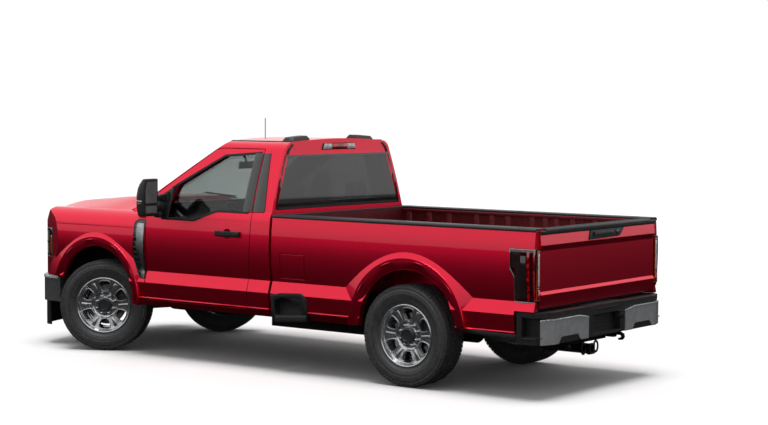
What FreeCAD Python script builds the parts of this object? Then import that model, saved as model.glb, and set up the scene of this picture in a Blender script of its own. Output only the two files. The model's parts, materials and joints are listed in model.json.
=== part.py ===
import FreeCAD, Part
import math
import os
import Sketcher

# A regular-cab pickup truck with a long load bed. X points forward, Y to its left, Z up.
# The origin is on the ground, midway between the two bumpers.

DRIVING_SIZES = (
    # Whole vehicle
    ("wheelbase", 3597),
    ("front_overhang", 970),
    ("rear_overhang", 1345),
    ("track_front", 1735),
    ("track_rear", 1707),
    ("shut_gap", 6),
    ("door_swing_gap", 8),
    ("overrun", 4000),
    # Wheels
    ("wheel_radius", 425),
    ("tyre_width", 275),
    ("rim_radius", 262),
    ("rim_width", 222),
    ("rim_barrel_wall", 12),
    ("rim_face_thickness", 34),
    ("rim_window_inner", 118),
    ("rim_window_outer", 214),
    ("rim_window_width", 92),
    ("hub_pad_radius", 112),
    ("front_cap_radius", 54),
    ("rear_cap_radius", 60),
    ("front_cap_reach", 106),
    ("rear_cap_reach", 132),
    ("steer_rest", 28.8),
    ("kingpin_inset", 80),
    # Body section, seen from the front
    ("sill_bottom", 470),
    ("sill_turn_in", 46),
    ("ledge_height", 540),
    ("ledge_depth", 7),
    ("band_low_height", 682),
    ("band_top_height", 787),
    ("band_out", 1008),
    ("band_in", 976),
    ("side_bow", 17),
    ("body_half_width", 992),
    ("shoulder_height", 1285),
    ("belt_height", 1376),
    ("belt_half_width", 955),
    ("shoulder_bow", 7),
    ("drip_height", 1905),
    ("drip_half_width", 768),
    ("window_bow", 9),
    ("roof_rail_height", 1984),
    ("roof_rail_half_width", 676),
    ("roof_rail_bow", 17),
    ("roof_crown_height", 2012),
    ("roof_bow", 6.5),
    # Cab, measured back from the front axle
    ("cab_front", 560),
    ("cab_back", 2150),
    ("cab_back_top", 2134),
    ("cab_side_wall", 106),
    ("cab_back_wall", 64),
    ("roof_thickness", 34),
    ("floor_thickness", 46),
    ("floor_height", 640),
    ("rocker_width", 120),
    ("pillar_half_width", 905),
    ("pillar_height", 1130),
    ("pillar_inner", 785),
    ("pillar_foot", 505),
    ("pillar_inner_height", 1240),
    ("firewall", 700),
    ("screen_base", 322),
    ("screen_base_height", 1352),
    ("screen_top", 1292),
    ("screen_top_height", 1952),
    ("screen_plan_radius", 4800),
    ("screen_clearance", 25),
    ("cowl_height", 1290),
    ("roof_front", 1500),
    ("roof_front_bow", 14),
    ("screen_frame", 52),
    ("screen_bottom_half_width", 742),
    ("screen_top_half_width", 600),
    ("glass_thickness", 6),
    ("glass_overlap", 22),
    ("ditch_half_width", 652),
    ("side_split_high", 1892),
    ("back_glass_bottom", 1380),
    ("back_glass_top", 1882),
    ("back_glass_bottom_half_width", 905),
    ("back_glass_top_half_width", 738),
    # Doors
    ("door_front", 676),
    ("door_front_low", 704),
    ("door_rear", 1896),
    ("door_rear_belt", 1930),
    ("door_rear_top", 1914),
    ("door_bottom", 530),
    ("door_top", 1918),
    ("door_frame_width", 62),
    ("door_depth", 450),
    ("door_bevel_share", 0.26),
    ("door_shoulder", 1335),
    ("handle_back", 1666),
    ("handle_height", 1174),
    ("handle_cup_radius", 88),
    ("handle_cup_depth", 12),
    ("hinge_width", 18),
    ("hinge_height", 90),
    ("hinge_low", 720),
    ("hinge_high", 1120),
    ("pillar_bend", 700),
    ("pillar_bend_height", 1457),
    ("pillar_top", 1345),
    ("pillar_top_height", 1902),
    ("door_top_front", 1450),
    ("door_top_bow", 4),
    ("window_rear_cut", 1872),
    ("sill_step", 1283),
    ("sill_step_start", 1262),
    ("sill_step_end", 1520),
    ("window_front", 884),
    ("window_front_top", 969),
    ("window_front_height", 1572),
    ("window_bend", 1472),
    ("window_bend_height", 1850),
    ("window_top", 1882),
    ("door_glass_inset", 26),
    # Bed
    ("bed_front", 2178),
    ("bed_rail_height", 1346),
    ("bed_rail_half_width", 978),
    ("bed_floor_height", 812),
    ("bed_floor_thickness", 40),
    ("bed_inner_half_width", 850),
    ("bed_front_wall", 66),
    ("bed_rear", 4852),
    ("wheelhouse_inner", 641),
    ("wheelhouse_wall", 14),
    ("cap_thickness", 14),
    # Wheel arches
    ("front_arch_back", 36),
    ("front_arch_height", 513),
    ("front_arch_radius", 472),
    ("rear_arch_back", 27),
    ("rear_arch_height", 484),
    ("rear_arch_radius", 502),
    ("flare_lip", 60),
    ("flare_spread", 150),
    ("flare_out", 1016),
    ("flare_lip_depth", 26),
    # Tailgate
    ("tailgate_half_width", 924),
    ("tailgate_bottom", 738),
    ("tailgate_thickness", 96),
    ("tailgate_swing", 30),
    ("tailgate_pin_ahead", 58),
    ("tailgate_pin_height", 50),
    ("tailgate_pin_radius", 12),
    ("tailgate_top_ridge_drop", 116),
    ("tailgate_step_drop", 160),
    ("tailgate_low_ridge", 866),
    ("tailgate_ridge_depth", 12),
    # Front end
    ("fender_front", 742),
    ("fender_top_half_width", 792),
    ("fender_top_height", 1322),
    ("fender_shoulder_height", 1170),
    ("fender_bow", 62),
    ("nose_corner_half_width", 884),
    ("nose_front", 902),
    ("hood_rear", 290),
    ("hood_thickness", 40),
    ("hood_crown_rise", 104),
    ("hood_dome_half_width", 520),
    ("hood_front", 905),
    ("headlamp_top", 1122),
    ("headlamp_bottom", 846),
    ("headlamp_inner", 640),
    ("grille_bottom", 700),
    ("grille_top", 1150),
    # Front bumper
    ("front_bumper_top", 668),
    ("front_bumper_bottom", 420),
    ("front_bumper_half_width", 960),
    ("front_bumper_wrap", 488),
    ("air_dam_bottom", 187),
    # Rear bumper
    ("rear_bumper_top", 706),
    ("rear_bumper_bottom", 452),
    ("rear_bumper_half_width", 1000),
    ("rear_bumper_side_front", 4690),
    # Frame
    ("frame_half_width", 432),
    ("frame_rail_width", 72),
    ("frame_rail_height", 168),
    # Body panels
    ("fender_wall", 34),
    ("fender_inner", 792),
    ("hood_front_cut", 277),
    ("headlamp_wall", 90),
    ("grille_back", 640),
    ("core_front", 740),
    ("core_half_width", 560),
    ("core_drop", 142),
    ("bumper_corner_front", 806),
    ("bumper_corner_half_width", 850),
    ("bumper_corner_bow", 24),
    ("bumper_side_start", 640),
    ("tail_lamp_notch", 973),
    ("tail_lamp_step", 61),
    ("rear_valance_front", 4143),
    ("rear_valance_low", 496),
    ("rear_valance_rear", 4672),
    ("rear_valance_high", 530),
    ("floor_rear_gap", 118),
    ("tailgate_outer", 4858),
    ("rear_corner", 44),
    ("fender_rear_gap", 8),
    ("nose_bow", 30),
    ("nose_side_start", 420),
    ("nose_side_bow", 12),
    ("liner_inner", 470),
    ("hood_side_gap", 5),
    ("hood_front_drop", 36),
    ("fender_return", 600),
    ("hood_turn", 760),
    ("hood_turn_drop", 60),
    ("hood_lip_drop", 86),
    ("hood_dome_step", 34),
    ("grille_half_width", 612),
    ("grille_frame", 46),
    ("grille_bar_height", 74),
    ("grille_slat", 12),
    ("headlamp_depth", 150),
    ("core_depth", 60),
    ("hood_stop_radius", 18),
    ("hood_stop_offset", 480),
    # Bumpers
    ("front_bumper_wall", 36),
    ("front_bumper_bow", 46),
    ("rear_bumper_depth", 96),
    ("rear_bumper_wall", 30),
    ("bumper_panel_thickness", 8),
    ("panel_inner_end", 300),
    ("panel_notch_start", 420),
    ("panel_notch_end", 720),
    ("panel_notch_height", 52),
    ("panel_top_drop", 56),
    ("panel_top_slope", 24),
    ("plate_height", 156),
    ("plate_recess_depth", 52),
    ("corner_step_rear", 30),
    ("corner_step_length", 170),
    ("corner_step_depth", 66),
    ("corner_step_bottom", 506),
    ("corner_step_height", 156),
    ("plate_half_width", 226),
    ("plate_bottom", 474),
    ("air_dam_back", 640),
    ("air_dam_thickness", 14),
    # Lamps
    ("tail_lamp_top", 1205),
    ("tail_lamp_bottom", 780),
    ("tail_lamp_front", 4624),
    ("tail_lamp_low_front", 4666),
    ("tail_lamp_reach", 10),
    ("lamp_proud", 3),
    # Fuel door
    ("fuel_door_front", 2272),
    ("fuel_door_rear", 2545),
    ("fuel_door_bottom", 819),
    ("fuel_door_top", 1036),
    ("fuel_door_depth", 18),
    ("fuel_pocket_depth", 60),
    ("fuel_hinge", 40),
    # Running gear
    ("hub_radius", 62),
    ("bead_drop", 16),
    ("rim_flange", 12),
    ("rim_drop", 30),
    ("rim_clearance", 1),
    ("rim_face_reach", 62),
    ("rim_window_curve", 26),
    ("tyre_wall", 15),
    ("tyre_shoulder", 28),
    ("tyre_bulge_height", 70),
    ("pin_gap", 0.5),
    ("spindle_radius", 30),
    ("disc_start", 62),
    ("yoke_depth", 80),
    ("yoke_ear", 22),
    ("hanger_length", 90),
    ("hanger_height", 90),
    ("coil_offset", 512),
    ("muffler_offset", 250),
    ("exhaust_rear", 3300),
    ("exhaust_front", 500),
    ("spare_thickness", 220),
    ("hitch_reach", 110),
    ("hitch_pin_back", 60),
    ("hitch_pin_radius", 8),
    ("seat_cushion", 60),
    ("dash_lip", 50),
    ("mirror_taper", 30),
    ("mirror_arm_back", 805),
    ("mirror_arm_start", 900),
    ("mast_bottom", 1290),
    ("disc_radius", 178),
    ("disc_thickness", 30),
    ("kingpin_radius", 30),
    ("knuckle_height", 190),
    ("axle_tube_radius", 46),
    ("axle_diff_radius", 150),
    ("diff_offset", 210),
    ("spring_width", 76),
    ("spring_thickness", 44),
    ("spring_length", 1560),
    ("spring_rise", 120),
    ("spring_offset", 535),
    ("coil_radius", 72),
    ("coil_height", 250),
    ("rail_middle_bottom", 410),
    ("rail_front_bottom", 560),
    ("rail_rear_bottom", 588),
    ("rail_front_kick", 240),
    ("rail_rear_kick", 2900),
    ("rail_kick_length", 320),
    ("rail_front_end", 780),
    ("front_bracket_reach", 905),
    ("rail_rear_end", 4680),
    ("cross_member_depth", 90),
    ("cross_member_height", 45),
    ("body_pad_radius", 34),
    ("pad_cab_front", 850),
    ("pad_cab_rear", 2060),
    ("pad_bed_front", 3330),
    ("pad_bed_rear", 4420),
    ("engine_length", 720),
    ("engine_width", 560),
    ("engine_height", 560),
    ("engine_bottom", 590),
    ("engine_front", 240),
    ("gearbox_radius", 90),
    ("gearbox_length", 900),
    ("shaft_radius", 48),
    ("shaft_height", 500),
    ("tank_length", 1250),
    ("tank_front", 1650),
    ("tank_width", 290),
    ("tank_height", 225),
    ("tank_bottom", 300),
    ("muffler_length", 620),
    ("muffler_radius", 72),
    ("pipe_radius", 38),
    ("exhaust_height", 455),
    ("spare_radius", 400),
    ("spare_back", 4180),
    ("hitch_tube", 76),
    ("hitch_bore", 52),
    ("hitch_length", 330),
    ("hitch_height", 320),
    ("hitch_bar_height", 90),
    # Cab inside
    ("seat_height", 980),
    ("seat_front", 1280),
    ("seat_depth", 520),
    ("seat_half_width", 760),
    ("seat_back_thickness", 150),
    ("seat_back_height", 620),
    ("seat_lean", 140),
    ("dash_depth", 400),
    ("dash_bottom", 930),
    ("dash_top", 1270),
    ("dash_half_width", 820),
    ("steering_radius", 190),
    ("steering_grip", 15),
    ("steering_offset", 400),
    ("steering_back", 1240),
    ("steering_height", 1220),
    ("steering_tilt", 25),
    ("column_radius", 35),
    # Mirrors and mast
    ("mirror_reach", 1248),
    ("mirror_front", 850),
    ("mirror_rear", 990),
    ("mirror_half_width", 96),
    ("mirror_bottom", 1312),
    ("mirror_top", 1646),
    ("mirror_arm_radius", 24),
    ("mirror_arm_low", 1365),
    ("mirror_arm_high", 1455),
    ("mast_back", 492),
    ("mast_offset", 900),
    ("mast_radius", 4),
    ("mast_top", 2176),
    # Step recess
    ("step_front", 2186),
    ("step_rear", 2592),
    ("step_depth", 110),
)

doc = FreeCAD.newDocument("PickupTruck")
sheet = doc.addObject("Spreadsheet::Sheet", "Sizes")
for row, (alias, value) in enumerate(DRIVING_SIZES, start=1):
    sheet.set(f"A{row}", str(value))
    sheet.setAlias(f"A{row}", alias)
doc.recompute()


class Size:
    """A length with its number and the formula, in sheet names, that it comes from."""

    def __init__(self, number, formula):
        self.number = float(number)
        self.formula = formula

    def __add__(self, other):
        other = as_size(other)
        return Size(self.number + other.number, f"({self.formula} + {other.formula})")

    def __sub__(self, other):
        other = as_size(other)
        return Size(self.number - other.number, f"({self.formula} - {other.formula})")

    def __mul__(self, other):
        other = as_size(other)
        return Size(self.number * other.number, f"{self.formula} * {other.formula}")

    def __truediv__(self, other):
        other = as_size(other)
        return Size(self.number / other.number, f"{self.formula} / ({other.formula})")

    def __neg__(self):
        return Size(-self.number, f"(0 - {self.formula})")

    def __radd__(self, other):
        return as_size(other) + self

    def __rsub__(self, other):
        return as_size(other) - self

    def __rmul__(self, other):
        return self * other

    def __float__(self):
        return self.number


def as_size(value):
    """Return the value as a Size, whether it is one or a plain number."""
    if isinstance(value, Size):
        return value
    return Size(value, f"({value})")


class Sizes:
    """The sheet's values by name."""


S = Sizes()
for alias, value in DRIVING_SIZES:
    setattr(S, alias, Size(sheet.get(alias), f"Sizes.{alias}"))

front_axle = (S.wheelbase + S.rear_overhang - S.front_overhang) / 2
rear_axle = front_axle - S.wheelbase
parts = []


def behind(distance):
    """Return the X of a place this far behind the front axle."""
    return front_axle - distance


def ahead(distance):
    """Return the X of a place this far ahead of the front axle."""
    return front_axle + distance


def hypotenuse(wide, high):
    """Return the length of the slanted side over two sizes."""
    return Size(math.hypot(wide.number, high.number), f"hypot({wide.formula}; {high.formula})")


def bind(item, prop, size):
    """Bind one property of an object to the sheet."""
    item.setExpression(prop, as_size(size).formula)


def place(item, x=0, y=0, z=0):
    """Bind the place of an object to the sheet."""
    bind(item, "Placement.Base.x", x)
    bind(item, "Placement.Base.y", y)
    bind(item, "Placement.Base.z", z)


PLANE_TURNS = {
    "XY": FreeCAD.Rotation(),
    "XZ": FreeCAD.Rotation(FreeCAD.Vector(1, 0, 0), 90),
    "YZ": FreeCAD.Rotation(FreeCAD.Vector(1, 1, 1), 120),
}
PLANE_OFFSETS = {"XY": "z", "XZ": "y", "YZ": "x"}
AXIS_TURNS = {
    "X": FreeCAD.Rotation(FreeCAD.Vector(0, 1, 0), 90),
    "Y": FreeCAD.Rotation(FreeCAD.Vector(1, 0, 0), -90),
    "Z": FreeCAD.Rotation(),
}


def bowed_side(start, end, bow):
    """Return the arc from start to end that bows to the right of its way by this much."""
    way = end - start
    right = FreeCAD.Vector(way.y, -way.x, 0).normalize()
    radius = way.Length ** 2 / (8 * abs(bow)) + abs(bow) / 2
    middle = (start + end) / 2 + right * bow
    centre = middle - right * math.copysign(radius, bow)
    angles = [math.atan2(spot.y - centre.y, spot.x - centre.x) for spot in (start, end)]
    if bow < 0:
        angles.reverse()
    if angles[1] < angles[0]:
        angles[1] += 2 * math.pi
    circle = Part.Circle(centre, FreeCAD.Vector(0, 0, 1), radius)
    return Part.ArcOfCircle(circle, angles[0], angles[1])


def trace(sketch, points):
    """Draw a closed outline in a sketch and bind each corner to the sheet.

    A point is a pair of sizes. A third value bows the side to the next point outward,
    where the points run counterclockwise.
    """
    count = len(points)
    spots = [FreeCAD.Vector(float(point[0]), float(point[1]), 0) for point in points]
    geometry = []
    first_ends = []
    last_ends = []
    for index, point in enumerate(points):
        start = spots[index]
        end = spots[(index + 1) % count]
        bowed = len(point) == 3
        flipped = bowed and float(point[2]) < 0
        if bowed:
            geometry.append(bowed_side(start, end, float(point[2])))
        else:
            geometry.append(Part.LineSegment(start, end))
        first_ends.append(2 if flipped else 1)
        last_ends.append(1 if flipped else 2)
    first = sketch.GeometryCount
    sketch.addGeometry(geometry, False)
    for index, point in enumerate(points):
        side = first + index
        before = first + (index - 1) % count
        last_end = last_ends[index - 1]
        sketch.addConstraint(Sketcher.Constraint("Coincident", before, last_end, side, first_ends[index]))
        for kind, axis in (("DistanceX", 0), ("DistanceY", 1)):
            value = float(point[axis])
            mark = sketch.addConstraint(Sketcher.Constraint(kind, -1, 1, side, first_ends[index], value))
            name = f"{kind}{side}"
            sketch.renameConstraint(mark, name)
            bind(sketch, f"Constraints.{name}", point[axis])
        if len(point) == 3:
            after = points[(index + 1) % count]
            wide = as_size(after[0]) - point[0]
            high = as_size(after[1]) - point[1]
            bow = as_size(point[2])
            if bow.number < 0:
                bow = -bow
            radius = (wide * wide + high * high) / (bow * 8) + bow / 2
            mark = sketch.addConstraint(Sketcher.Constraint("Radius", side, radius.number))
            name = f"Radius{side}"
            sketch.renameConstraint(mark, name)
            bind(sketch, f"Constraints.{name}", radius)


def outline(name, plane, points, offset=0):
    """Return a closed sketch on a plane parallel to one of the three main planes."""
    sketch = doc.addObject("Sketcher::SketchObject", name)
    sketch.Placement = FreeCAD.Placement(FreeCAD.Vector(), PLANE_TURNS[plane])
    trace(sketch, points)
    bind(sketch, f"Placement.Base.{PLANE_OFFSETS[plane]}", offset)
    return sketch


def slab(name, plane, points, offset, length):
    """Extrude an outline: toward +X from YZ, toward -Y from XZ, toward +Z from XY."""
    item = doc.addObject("Part::Extrusion", name)
    item.Base = outline(name + "_outline", plane, points, offset)
    item.DirMode = "Normal"
    item.Solid = True
    bind(item, "LengthFwd", length)
    return item


def loft(name, sections):
    """Return the smooth solid through sketches with the same number of sides."""
    item = doc.addObject("Part::Loft", name)
    item.Sections = sections
    item.Solid = True
    return item


def box(name, x, y, z, length, width, height):
    """Return a box from its lowest corner."""
    item = doc.addObject("Part::Box", name)
    bind(item, "Length", length)
    bind(item, "Width", width)
    bind(item, "Height", height)
    place(item, x, y, z)
    return item


def cylinder(name, axis, x, y, z, radius, length):
    """Return a cylinder that starts at a point and runs along one axis."""
    item = doc.addObject("Part::Cylinder", name)
    item.Placement = FreeCAD.Placement(FreeCAD.Vector(), AXIS_TURNS[axis])
    bind(item, "Radius", radius)
    bind(item, "Height", length)
    place(item, x, y, z)
    return item


def ball(name, x, y, z, radius):
    """Return a ball round a point."""
    item = doc.addObject("Part::Sphere", name)
    bind(item, "Radius", radius)
    place(item, x, y, z)
    return item


def cone(name, axis, x, y, z, radius_start, radius_end, length):
    """Return a cone that starts at a point and runs along one axis."""
    item = doc.addObject("Part::Cone", name)
    item.Placement = FreeCAD.Placement(FreeCAD.Vector(), AXIS_TURNS[axis])
    bind(item, "Radius1", radius_start)
    bind(item, "Radius2", radius_end)
    bind(item, "Height", length)
    place(item, x, y, z)
    return item


def rod(name, start, end, radius):
    """Return a round bar between two points."""
    run = [as_size(last) - first for first, last in zip(start, end)]
    way = FreeCAD.Vector(*[float(part) for part in run])
    item = doc.addObject("Part::Cylinder", name)
    item.Placement = FreeCAD.Placement(FreeCAD.Vector(), FreeCAD.Rotation(FreeCAD.Vector(0, 0, 1), way))
    bind(item, "Radius", radius)
    bind(item, "Height", hypotenuse(hypotenuse(run[0], run[1]), run[2]))
    place(item, *start)
    return item


def fuse(name, *items):
    """Return the union of objects."""
    item = doc.addObject("Part::MultiFuse", name)
    item.Shapes = list(items)
    item.Refine = True
    return item


def common(name, *items):
    """Return what all the objects share."""
    item = doc.addObject("Part::MultiCommon", name)
    item.Shapes = list(items)
    return item


def cut(name, base, *tools):
    """Return the base without the tools."""
    item = doc.addObject("Part::Cut", name)
    item.Base = base
    item.Tool = tools[0] if len(tools) == 1 else fuse(name + "_tools", *tools)
    return item


def body(name):
    """Return an empty body for sketches and features."""
    return doc.addObject("PartDesign::Body", name)


def body_sketch(item, name, role, points):
    """Draw a closed outline on one of a body's own main planes."""
    sketch = item.newObject("Sketcher::SketchObject", name)
    plane = next(feature for feature in item.Origin.OriginFeatures if feature.Role == role)
    sketch.AttachmentSupport = (plane, [""])
    sketch.MapMode = "FlatFace"
    trace(sketch, points)
    return sketch


def turned(item, name, points):
    """Revolve a profile of radius and reach about the body's Y axis."""
    sketch = body_sketch(item, name + "_profile", "XY_Plane", points)
    feature = item.newObject("PartDesign::Revolution", name)
    feature.Profile = sketch
    feature.ReferenceAxis = (sketch, ["V_Axis"])
    feature.Angle = 360
    return feature


def sine(angle):
    """Return the sine of an angle from the sheet, in degrees."""
    return Size(math.sin(math.radians(angle.number)), f"sin({angle.formula})")


def cosine(angle):
    """Return the cosine of an angle from the sheet, in degrees."""
    return Size(math.cos(math.radians(angle.number)), f"cos({angle.formula})")


def turn(item, angle):
    """Bind an object's turn about the vertical to the sheet."""
    item.Placement = FreeCAD.Placement(item.Placement.Base, FreeCAD.Rotation(FreeCAD.Vector(0, 0, 1), 1))
    bind(item, "Placement.Rotation.Angle", angle)


def mirror(name, source):
    """Return the right-hand copy of a left-hand object."""
    item = doc.addObject("Part::Mirroring", name)
    item.Source = source
    item.Normal = FreeCAD.Vector(0, 1, 0)
    return item


def keep(item, node):
    """Name an object as a finished sub-part."""
    item.Label = node
    parts.append(item)
    return item


def side_section(top_points, grow=0):
    """Return the left half of the body's outer section, closed by the points of its top."""
    return [
        (0, S.sill_bottom),
        (S.body_half_width - S.sill_turn_in + grow, S.sill_bottom),
        (S.body_half_width + S.ledge_depth + grow, S.ledge_height),
        (S.body_half_width + grow, S.ledge_height + S.ledge_depth),
        (S.band_out + grow, S.band_low_height),
        (S.band_in + grow, S.band_top_height, S.side_bow),
        *top_points,
    ]


def cab_outer():
    """Return the solid inside the cab's outer skin."""
    section = slab("cab_section", "YZ", side_section([
        (S.body_half_width - S.shoulder_bow, S.shoulder_height, S.shoulder_bow),
        (S.belt_half_width, S.belt_height, S.window_bow),
        (S.drip_half_width, S.drip_height, S.roof_rail_bow),
        (S.roof_rail_half_width, S.roof_rail_height, S.roof_bow),
        (0, S.roof_crown_height),
    ]), behind(S.cab_back), S.cab_back)
    side_view = slab("cab_side_view", "XZ", [
        (behind(S.cab_back), S.sill_bottom),
        (behind(S.cab_front), S.sill_bottom),
        (behind(S.cab_front), S.cowl_height - S.floor_thickness),
        (behind(S.screen_base - S.screen_clearance), S.cowl_height),
        (behind(S.screen_base - S.screen_clearance), S.screen_base_height + S.screen_clearance),
        (behind(S.screen_top - S.screen_clearance), S.screen_top_height + S.screen_clearance, S.roof_front_bow),
        (behind(S.roof_front), S.roof_crown_height),
        (behind(S.cab_back_top), S.roof_crown_height),
        (behind(S.cab_back_top), S.drip_height),
        (behind(S.cab_back), S.belt_height),
    ], S.overrun, S.overrun)
    return common("cab_left_half", section, side_view, screen_curve("screen_curve", 0))


def screen_curve(name, depth):
    """Return the big cylinder, laid along the windscreen's slope, that bows it forward at its middle."""
    rise = S.screen_top_height - S.screen_base_height
    run = S.screen_top - S.screen_base
    slant = hypotenuse(run, rise)
    radius = S.screen_plan_radius - depth
    item = doc.addObject("Part::Cylinder", name)
    turn = math.degrees(math.atan2(rise.number, run.number)) - 90
    item.Placement = FreeCAD.Placement(FreeCAD.Vector(), FreeCAD.Rotation(FreeCAD.Vector(0, 1, 0), turn))
    bind(item, "Radius", radius)
    bind(item, "Height", S.overrun * 3)
    start = S.overrun / slant
    place(
        item,
        behind(S.screen_base) - S.screen_plan_radius * rise / slant + run * start,
        0,
        S.screen_base_height - S.screen_plan_radius * run / slant - rise * start,
    )
    return item


def cab_room():
    """Return the left half of the space inside the cab."""
    wall = S.cab_side_wall
    section = slab("cab_room_section", "YZ", [
        (0, S.floor_height),
        (S.body_half_width - wall, S.floor_height),
        (S.body_half_width - wall, S.shoulder_height),
        (S.drip_half_width - wall * 2 / 3, S.drip_height),
        (S.roof_rail_half_width - wall, S.roof_rail_height - S.roof_thickness, S.roof_bow),
        (0, S.roof_crown_height - S.roof_thickness),
    ], behind(S.cab_back - S.cab_back_wall), S.cab_back)
    side_view = slab("cab_room_side_view", "XZ", [
        (behind(S.cab_back - S.cab_back_wall), S.floor_height),
        (behind(S.firewall), S.floor_height),
        (behind(S.firewall), S.cowl_height - S.floor_thickness * 2),
        (behind(S.screen_base), S.cowl_height + S.floor_thickness),
        (behind(S.screen_base), S.screen_base_height),
        (behind(S.screen_top), S.screen_top_height, S.roof_front_bow),
        (behind(S.roof_front), S.roof_crown_height - S.roof_thickness),
        (behind(S.cab_back_top - S.cab_back_wall), S.roof_crown_height - S.roof_thickness),
        (behind(S.cab_back_top - S.cab_back_wall), S.drip_height),
        (behind(S.cab_back - S.cab_back_wall), S.belt_height),
    ], S.overrun, S.overrun)
    return common("cab_room", section, side_view, screen_curve("room_screen_curve", S.screen_frame))


def door_outline(gap, inset):
    """Return the left door's outline, larger all round by a gap, its rear edge bevelled in by an inset."""
    belt_inset = (S.band_out - S.belt_half_width) * S.door_bevel_share - inset
    top_inset = (S.band_out - S.drip_half_width) * S.door_bevel_share - inset
    return [
        (behind(S.door_rear) - gap + inset, S.door_bottom - gap),
        (behind(S.door_front_low) + gap, S.door_bottom - gap),
        (behind(S.door_front) + gap, S.band_low_height + S.ledge_depth * 4),
        (behind(S.door_front) + gap, S.door_shoulder + gap),
        (behind(S.pillar_bend) + gap, S.pillar_bend_height + gap),
        (behind(S.pillar_top) + gap, S.pillar_top_height + gap, S.door_top_bow),
        (behind(S.door_top_front) + gap, S.door_top + gap),
        (behind(S.door_rear_top) - gap - top_inset, S.door_top + gap),
        (behind(S.door_rear_belt) - gap - belt_inset, S.belt_height),
    ]


def door_form(name, gap):
    """Return the left door's block: its rear edge face slants forward toward the inside."""
    outside = outline(name + "_outside", "XZ", door_outline(gap, 0), S.band_out)
    inside = outline(name + "_inside", "XZ", door_outline(gap, S.door_depth * S.door_bevel_share),
                     S.band_out - S.door_depth)
    item = loft(name, [outside, inside])
    item.Ruled = True
    return item


def window_outline(inset):
    """Return the outline of the side window, smaller all round by an inset."""
    return [
        (behind(S.window_rear_cut) + inset, S.belt_height + inset),
        (behind(S.sill_step_end) + inset, S.belt_height + inset),
        (behind(S.sill_step_start) + inset, S.sill_step + inset),
        (behind(S.window_front) - inset, S.sill_step + inset),
        (behind(S.window_front_top) - inset, S.window_front_height - inset),
        (behind(S.window_bend) - inset, S.window_bend_height - inset),
        (behind(S.window_rear_cut) + inset, S.window_top - inset),
    ]


def side_region():
    """Return the region of the left body side, outboard of the roof's ditch and the back panel."""
    return slab("side_region", "YZ", [
        ((S.body_half_width - S.cab_side_wall), 0),
        (S.overrun, 0),
        (S.overrun, S.overrun * 2),
        (S.ditch_half_width, S.overrun * 2),
        (S.ditch_half_width, S.side_split_high),
        ((S.body_half_width - S.cab_side_wall), S.belt_height),
    ], behind(S.overrun * 2), S.overrun * 3)


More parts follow.
